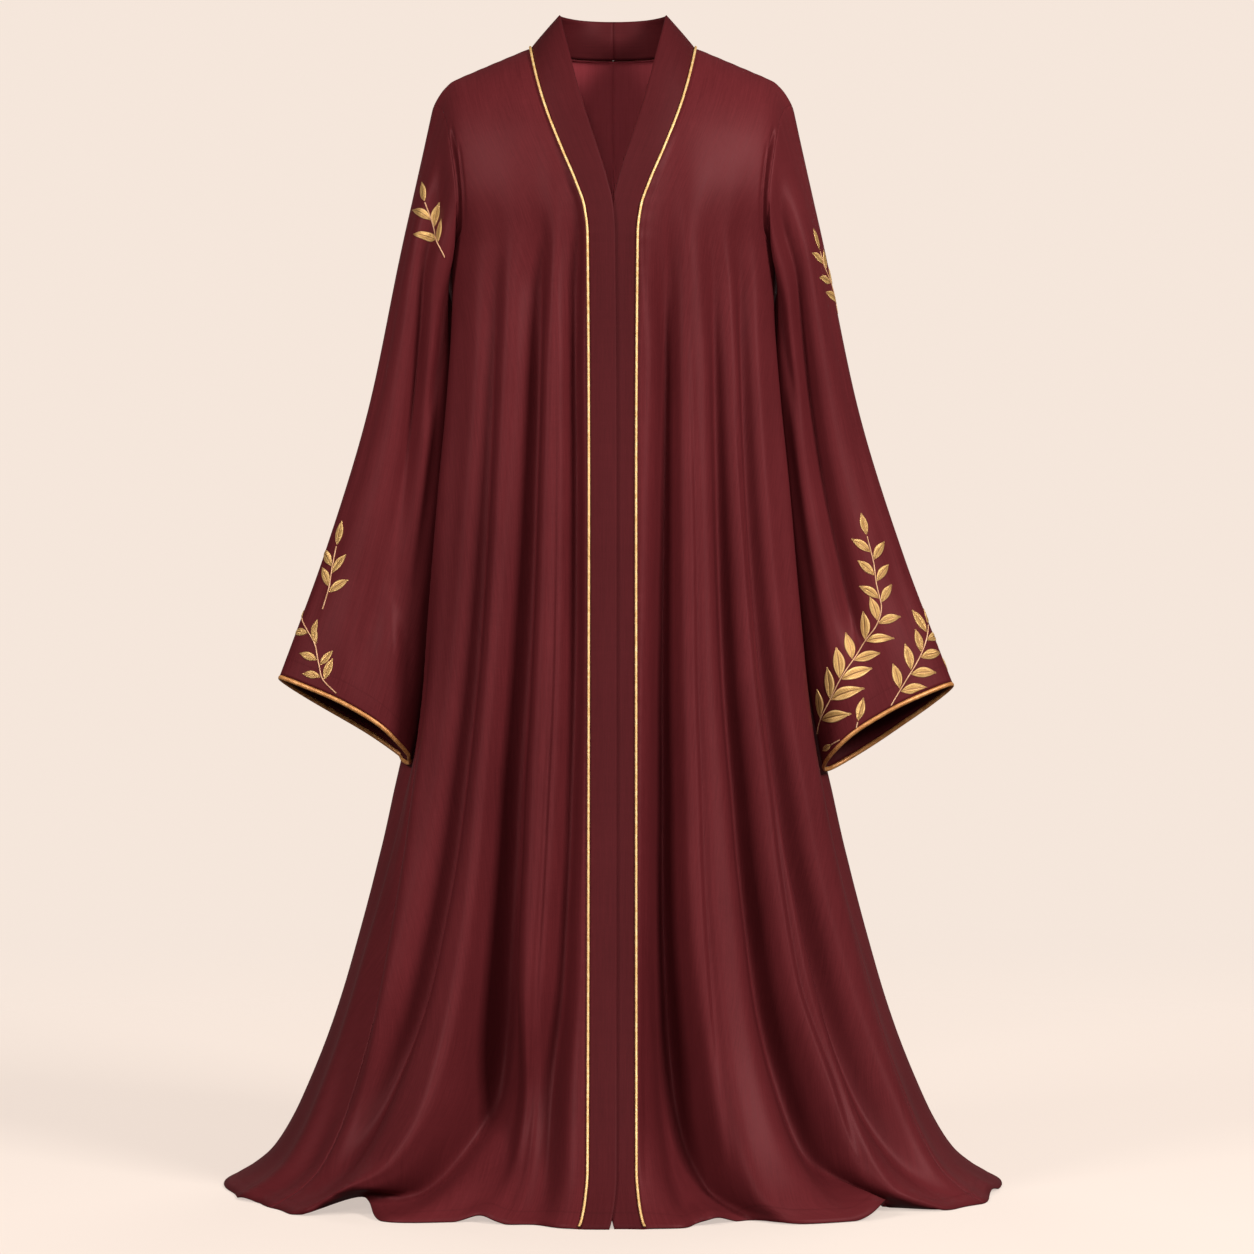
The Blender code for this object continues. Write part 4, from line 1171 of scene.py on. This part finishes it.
def satin(name, shades, roughness, sheen, sewn_hem):
    """Close satin: warp streaks run down the cloth, and a fine weave shows near to."""
    finish = Finish(name)
    cut, across, up = finish.flat_place("cut")
    warp = finish.noise(cut, 1.0, (620, 16, 1), 3.0, 0.6)
    fine_warp = finish.noise(cut, 1.0, (1900, 90, 1), 1.0)
    weft = finish.noise(cut, 1.0, (24, 1500, 1), 1.0)
    bloom = finish.noise(finish.place, 6.5, (1, 1, 0.45), 3.0, 0.55)
    tone = warp * 0.34 + fine_warp * 0.16 + weft * 0.12 + bloom * 0.38
    colour = finish.graded(tone, (0.36, 0.50, 0.64), shades)
    height = fine_warp * 0.5 + weft * 0.35 + warp * 0.4
    if sewn_hem:
        line = (up - HEM_DEPTH).size()
        dash = (across / STITCH_PITCH).part().below(STITCH_SHARE)
        stitch = line.below(STITCH_HALF) * dash
        groove = line.below(GROOVE_HALF)
        # Painted shade darkens the hem's sunk groove; the stitches are darker thread.
        colour = finish.mixed(groove * 0.35 + stitch * 0.25, colour, (*shades[0], 1))
        height = height - groove * 1.2 + stitch * 1.6
    normal = finish.bumped(height, 0.00035, 0.35)
    return finish.wear(Base_Color=colour, Roughness=roughness + (warp - 0.5) * 0.16, Normal=normal,
                       Sheen_Weight=sheen, Sheen_Roughness=0.30, Sheen_Tint=SHEEN_TINT,
                       Specular_IOR_Level=0.10, Specular_Tint=GLOSS_TINT)


LEAF_GOLD = ((0.26, 0.105, 0.022), (0.55, 0.285, 0.075), (0.90, 0.58, 0.22))
# A painted highlight for the raised rim and the stitches beside the rib, and painted shade for the
# rib's groove and the sunk edge.
LEAF_PAINTED_HIGHLIGHT, LEAF_PAINTED_SHADE = (0.95, 0.63, 0.26, 1), (0.17, 0.060, 0.014, 1)


def gold_leaf_thread():
    """Satin stitch of gold thread, slanting from the rib of a leaf out to its rim."""
    finish = Finish("gold_leaf_thread")
    _, aside, along = finish.flat_place("leaf")
    aside = aside.size()
    slant = (along * 26 - aside * 3.2) * (2 * math.pi)
    stitch = slant.sine() * 0.5 + 0.5
    twist, patch = finish.noise(finish.place, 900), finish.noise(finish.place, 130)
    rib = aside.below(0.11)
    beside_rib = aside.below(0.26) * (1 - rib)
    rim = (1 - aside.below(0.66)) * aside.below(0.90)
    edge = 1 - aside.below(0.90)
    tone = stitch * 0.46 + twist * 0.22 + patch * 0.32
    colour = finish.graded(tone, (0.22, 0.46, 0.74), LEAF_GOLD)
    # Painted highlight on the rim and beside the rib.
    colour = finish.mixed(rim * 0.62 + beside_rib * 0.30, colour, LEAF_PAINTED_HIGHLIGHT)
    # Painted shade in the rib's groove and along the leaf's sunk edge.
    colour = finish.mixed(rib * 0.80 + edge * 0.72, colour, LEAF_PAINTED_SHADE)
    height = stitch * (1 - rib) + twist * 0.5
    return finish.wear(Base_Color=colour, Roughness=0.50 - stitch * 0.14,
                       Normal=finish.bumped(height, 0.0004, 0.7), Metallic=0.45,
                       Specular_IOR_Level=0.5)


PIPING_GOLD = ((0.52, 0.27, 0.075), (0.80, 0.50, 0.195), (0.93, 0.68, 0.34))
BINDING_GOLD = ((0.34, 0.125, 0.032), (0.56, 0.235, 0.068), (0.78, 0.40, 0.150))
STEM_GOLD = ((0.45, 0.21, 0.09), (0.66, 0.36, 0.19), (0.82, 0.52, 0.32))


def gold_cord_thread(name, shades, turns, metallic):
    """Wound gold thread on a cord, piping or stem."""
    finish = Finish(name)
    fleck, length = finish.noise(finish.place, 700), finish.noise(finish.place, turns)
    colour = finish.graded(fleck * 0.55 + length * 0.45, (0.32, 0.50, 0.68), shades)
    return finish.wear(Base_Color=colour, Roughness=0.34 + fleck * 0.18, Metallic=metallic,
                       Normal=finish.bumped(fleck, 0.0002, 0.5))


def floor_finish():
    """Plain pale floor that fades out with distance."""
    finish = Finish("pale_floor")
    colour = finish.mixed(finish.noise(finish.place, 0.8), *FLOOR_SHADES)
    away = finish.add("ShaderNodeVectorMath", {"operation": "LENGTH"}, {0: finish.place}, 1)
    far = finish.add("ShaderNodeMapRange", {"interpolation_type": "SMOOTHSTEP"},
                     {"Value": away, "From Min": FLOOR_PLAIN_TO, "From Max": FLOOR_RADIUS,
                      "To Min": 1.0, "To Max": 0.0})
    return finish.wear(Base_Color=colour, Roughness=0.85, Alpha=far, Specular_IOR_Level=0.1,
                       Emission_Color=FLOOR_GLOW, Emission_Strength=1.0)


# ---- The cloak -------------------------------------------------------------------------
# A piece's flat cut: its width, its length, its area, and the pieces that it rests on.
Cut = namedtuple("Cut", "width length area rests_on")


UNDERARM_TUCK, UNDERARM_NARROWER = 0.004, 0.03      # so that the sleeve's top edge is inside
TUCK_FROM, TUCK_OVER = 0.13, 0.05                    # above the underarm
FLOOR_GAP, FLOOR_SIDES = 0.0002, 96
BAND_SEAM_DEPTH = 0.4    # of the depth of the other seams
INSIDES = {"band": "satin_band", "sleeve": "satin_band"}


def build_side(side, finishes):
    hand = SIDES[side]
    armhole_drops, skirt_drops = row_drops()
    drops = np.concatenate([armhole_drops, skirt_drops])[:, None]
    front = with_side(side, front_points(side, edge_spacing(PANEL_COLUMNS)[None, :], drops))
    back = with_side(side, back_points(side, edge_spacing(BACK_COLUMNS)[None, :], drops))
    front = pleated(front, -hand, drops)
    for panel in (front, back):
        panel[-1, :, 2] = np.maximum(panel[-1, :, 2], -LENGTH + WALL)
    sleeve = sleeve_grid(side, armhole_drops)
    band = band_grid(side)
    sewn = {
        "front": sewn_edges(front, -hand, ("start", "end", "top")),
        "back": sewn_edges(back, hand, ("start", "end", "top")),
        "sleeve": sewn_edges(sleeve, hand, ("top",), closed=True),
        "band": sewn_edges(band, hand, ("start", "top"), depth=BAND_SEAM_DEPTH),
    }
    outward = {"front": -hand, "back": hand, "sleeve": hand, "band": hand}
    at_underarm = ease((-UNDERARM + TUCK_FROM - sewn["sleeve"][0, :, 2]) / TUCK_OVER)
    sewn["sleeve"][0, :, 0] -= hand * UNDERARM_TUCK * at_underarm
    sewn["sleeve"][0, :, 1] *= 1 - UNDERARM_NARROWER * at_underarm
    for name, grid in sewn.items():
        grid[..., 2] = np.maximum(grid[..., 2], -LENGTH + WALL * 0.5)
        wall = BAND_WALL if name == "band" else WALL
        make_cloth(name, side, grid, outward[name], wall,
                                finishes["satin_band" if name == "band" else "satin"],
                                finishes[INSIDES.get(name, "satin_painted_light_inside")])
    piping = make_piping(side, band, hand, finishes["piping"])
    binding = make_binding(side, sewn["sleeve"], hand, finishes["binding"])
    surface = Sleeve(sewn["sleeve"], hand)
    leaves, stems = make_sprays(side, surface, finishes["leaf"], finishes["stem"])


def make_floor(material):
    shape = bmesh.new()
    bmesh.ops.create_circle(shape, cap_ends=True, segments=FLOOR_SIDES, radius=FLOOR_RADIUS)
    for vert in shape.verts:
        vert.co.z = -LENGTH - FLOOR_GAP
    floor = link("pale_floor", as_mesh("pale_floor", shape), [material])
    floor.visible_diffuse = floor.visible_glossy = False


BACKDROP = (0.915, 0.795, 0.710, 1)
ROOM_LIGHT = (1.0, 0.90, 0.84, 1)
ROOM_STRENGTH = 0.10
Light = namedtuple("Light", "name place aim size power colour")
LIGHTS = rows(Light, (
    ("key", (2.8, -2.8, 1.5), (0, 0, -0.5), 1.2, 202, (1, 0.97, 0.94)),
    ("fill", (-2.9, -2.7, 1.4), (0, 0, -0.5), 1.3, 106, (1, 0.97, 0.94)),
    ("front", (-0.3, -5, 1), (0, 0, -0.1), 1, 76, (1, 0.97, 0.94)),
    ("behind_left", (2, 3.4, 1.4), (0, 0, -0.6), 2, 85, (1, 0.97, 0.94)),
    ("behind_right", (-2, 3.6, 1), (0, 0, -0.6), 2, 60, (1, 0.97, 0.95)),
))


def make_lights():
    for light in LIGHTS:
        lamp = bpy.data.lights.new(light.name, "AREA")
        lamp.size = light.size
        lamp.energy = light.power
        lamp.color = light.colour
        holder = bpy.data.objects.new(light.name, lamp)
        holder.location = light.place
        way = Vector(light.aim) - Vector(light.place)
        holder.rotation_euler = way.to_track_quat("-Z", "Y").to_euler()
        holder.visible_camera = False
        holder.visible_glossy = light.place[1] < 0
        bpy.context.scene.collection.objects.link(holder)
    world = bpy.data.worlds.new("studio")
    world.use_nodes = True
    nodes, links = world.node_tree.nodes, world.node_tree.links
    backdrop = nodes["Background"]
    backdrop.inputs["Color"].default_value = BACKDROP
    room = nodes.new("ShaderNodeBackground")
    room.inputs["Color"].default_value = ROOM_LIGHT
    room.inputs["Strength"].default_value = ROOM_STRENGTH
    seen = nodes.new("ShaderNodeLightPath")
    either = nodes.new("ShaderNodeMixShader")
    links.new(seen.outputs["Is Camera Ray"], either.inputs[0])
    links.new(room.outputs[0], either.inputs[1])
    links.new(backdrop.outputs[0], either.inputs[2])
    links.new(either.outputs[0], nodes["World Output"].inputs["Surface"])
    bpy.context.scene.world = world


CAMERA_PLACE = (0.0178, -4.6, -0.735)
CAMERA_LENS, CAMERA_SENSOR = 103.98, 36


def make_camera():
    camera = bpy.data.cameras.new("camera")
    camera.lens = CAMERA_LENS
    camera.sensor_width = CAMERA_SENSOR
    holder = bpy.data.objects.new("camera", camera)
    holder.location = CAMERA_PLACE
    holder.rotation_euler = (math.pi / 2, 0, 0)
    bpy.context.scene.collection.objects.link(holder)
    bpy.context.scene.camera = holder


for existing in list(bpy.data.objects):
    if existing.name in ("Cube", "Light", "Camera"):
        bpy.data.objects.remove(existing)
bpy.context.scene.view_settings.view_transform = "Standard"
finishes = {
    "satin": satin("wine_satin", WINE, 0.42, 0.01, True),
    # The satin's duller wrong side, in shades painted bright to stand in for light falling inside.
    "satin_painted_light_inside": satin("wine_satin_painted_light_inside", WINE_PAINTED_LIGHT_INSIDE, 0.62, 0.04, False),
    "satin_band": satin("wine_satin_band", WINE_BAND, 0.50, 0.01, True),
    "piping": gold_cord_thread("gold_piping_thread", PIPING_GOLD, 160, 0.25),
    "binding": gold_cord_thread("gold_binding_thread", BINDING_GOLD, 140, 0.30),
    "leaf": gold_leaf_thread(),
    "stem": gold_cord_thread("gold_stem_thread", STEM_GOLD, 120, 0.15),
}
make_floor(floor_finish())
make_camera()
make_lights()
for side in SIDES:
    build_side(side, finishes)
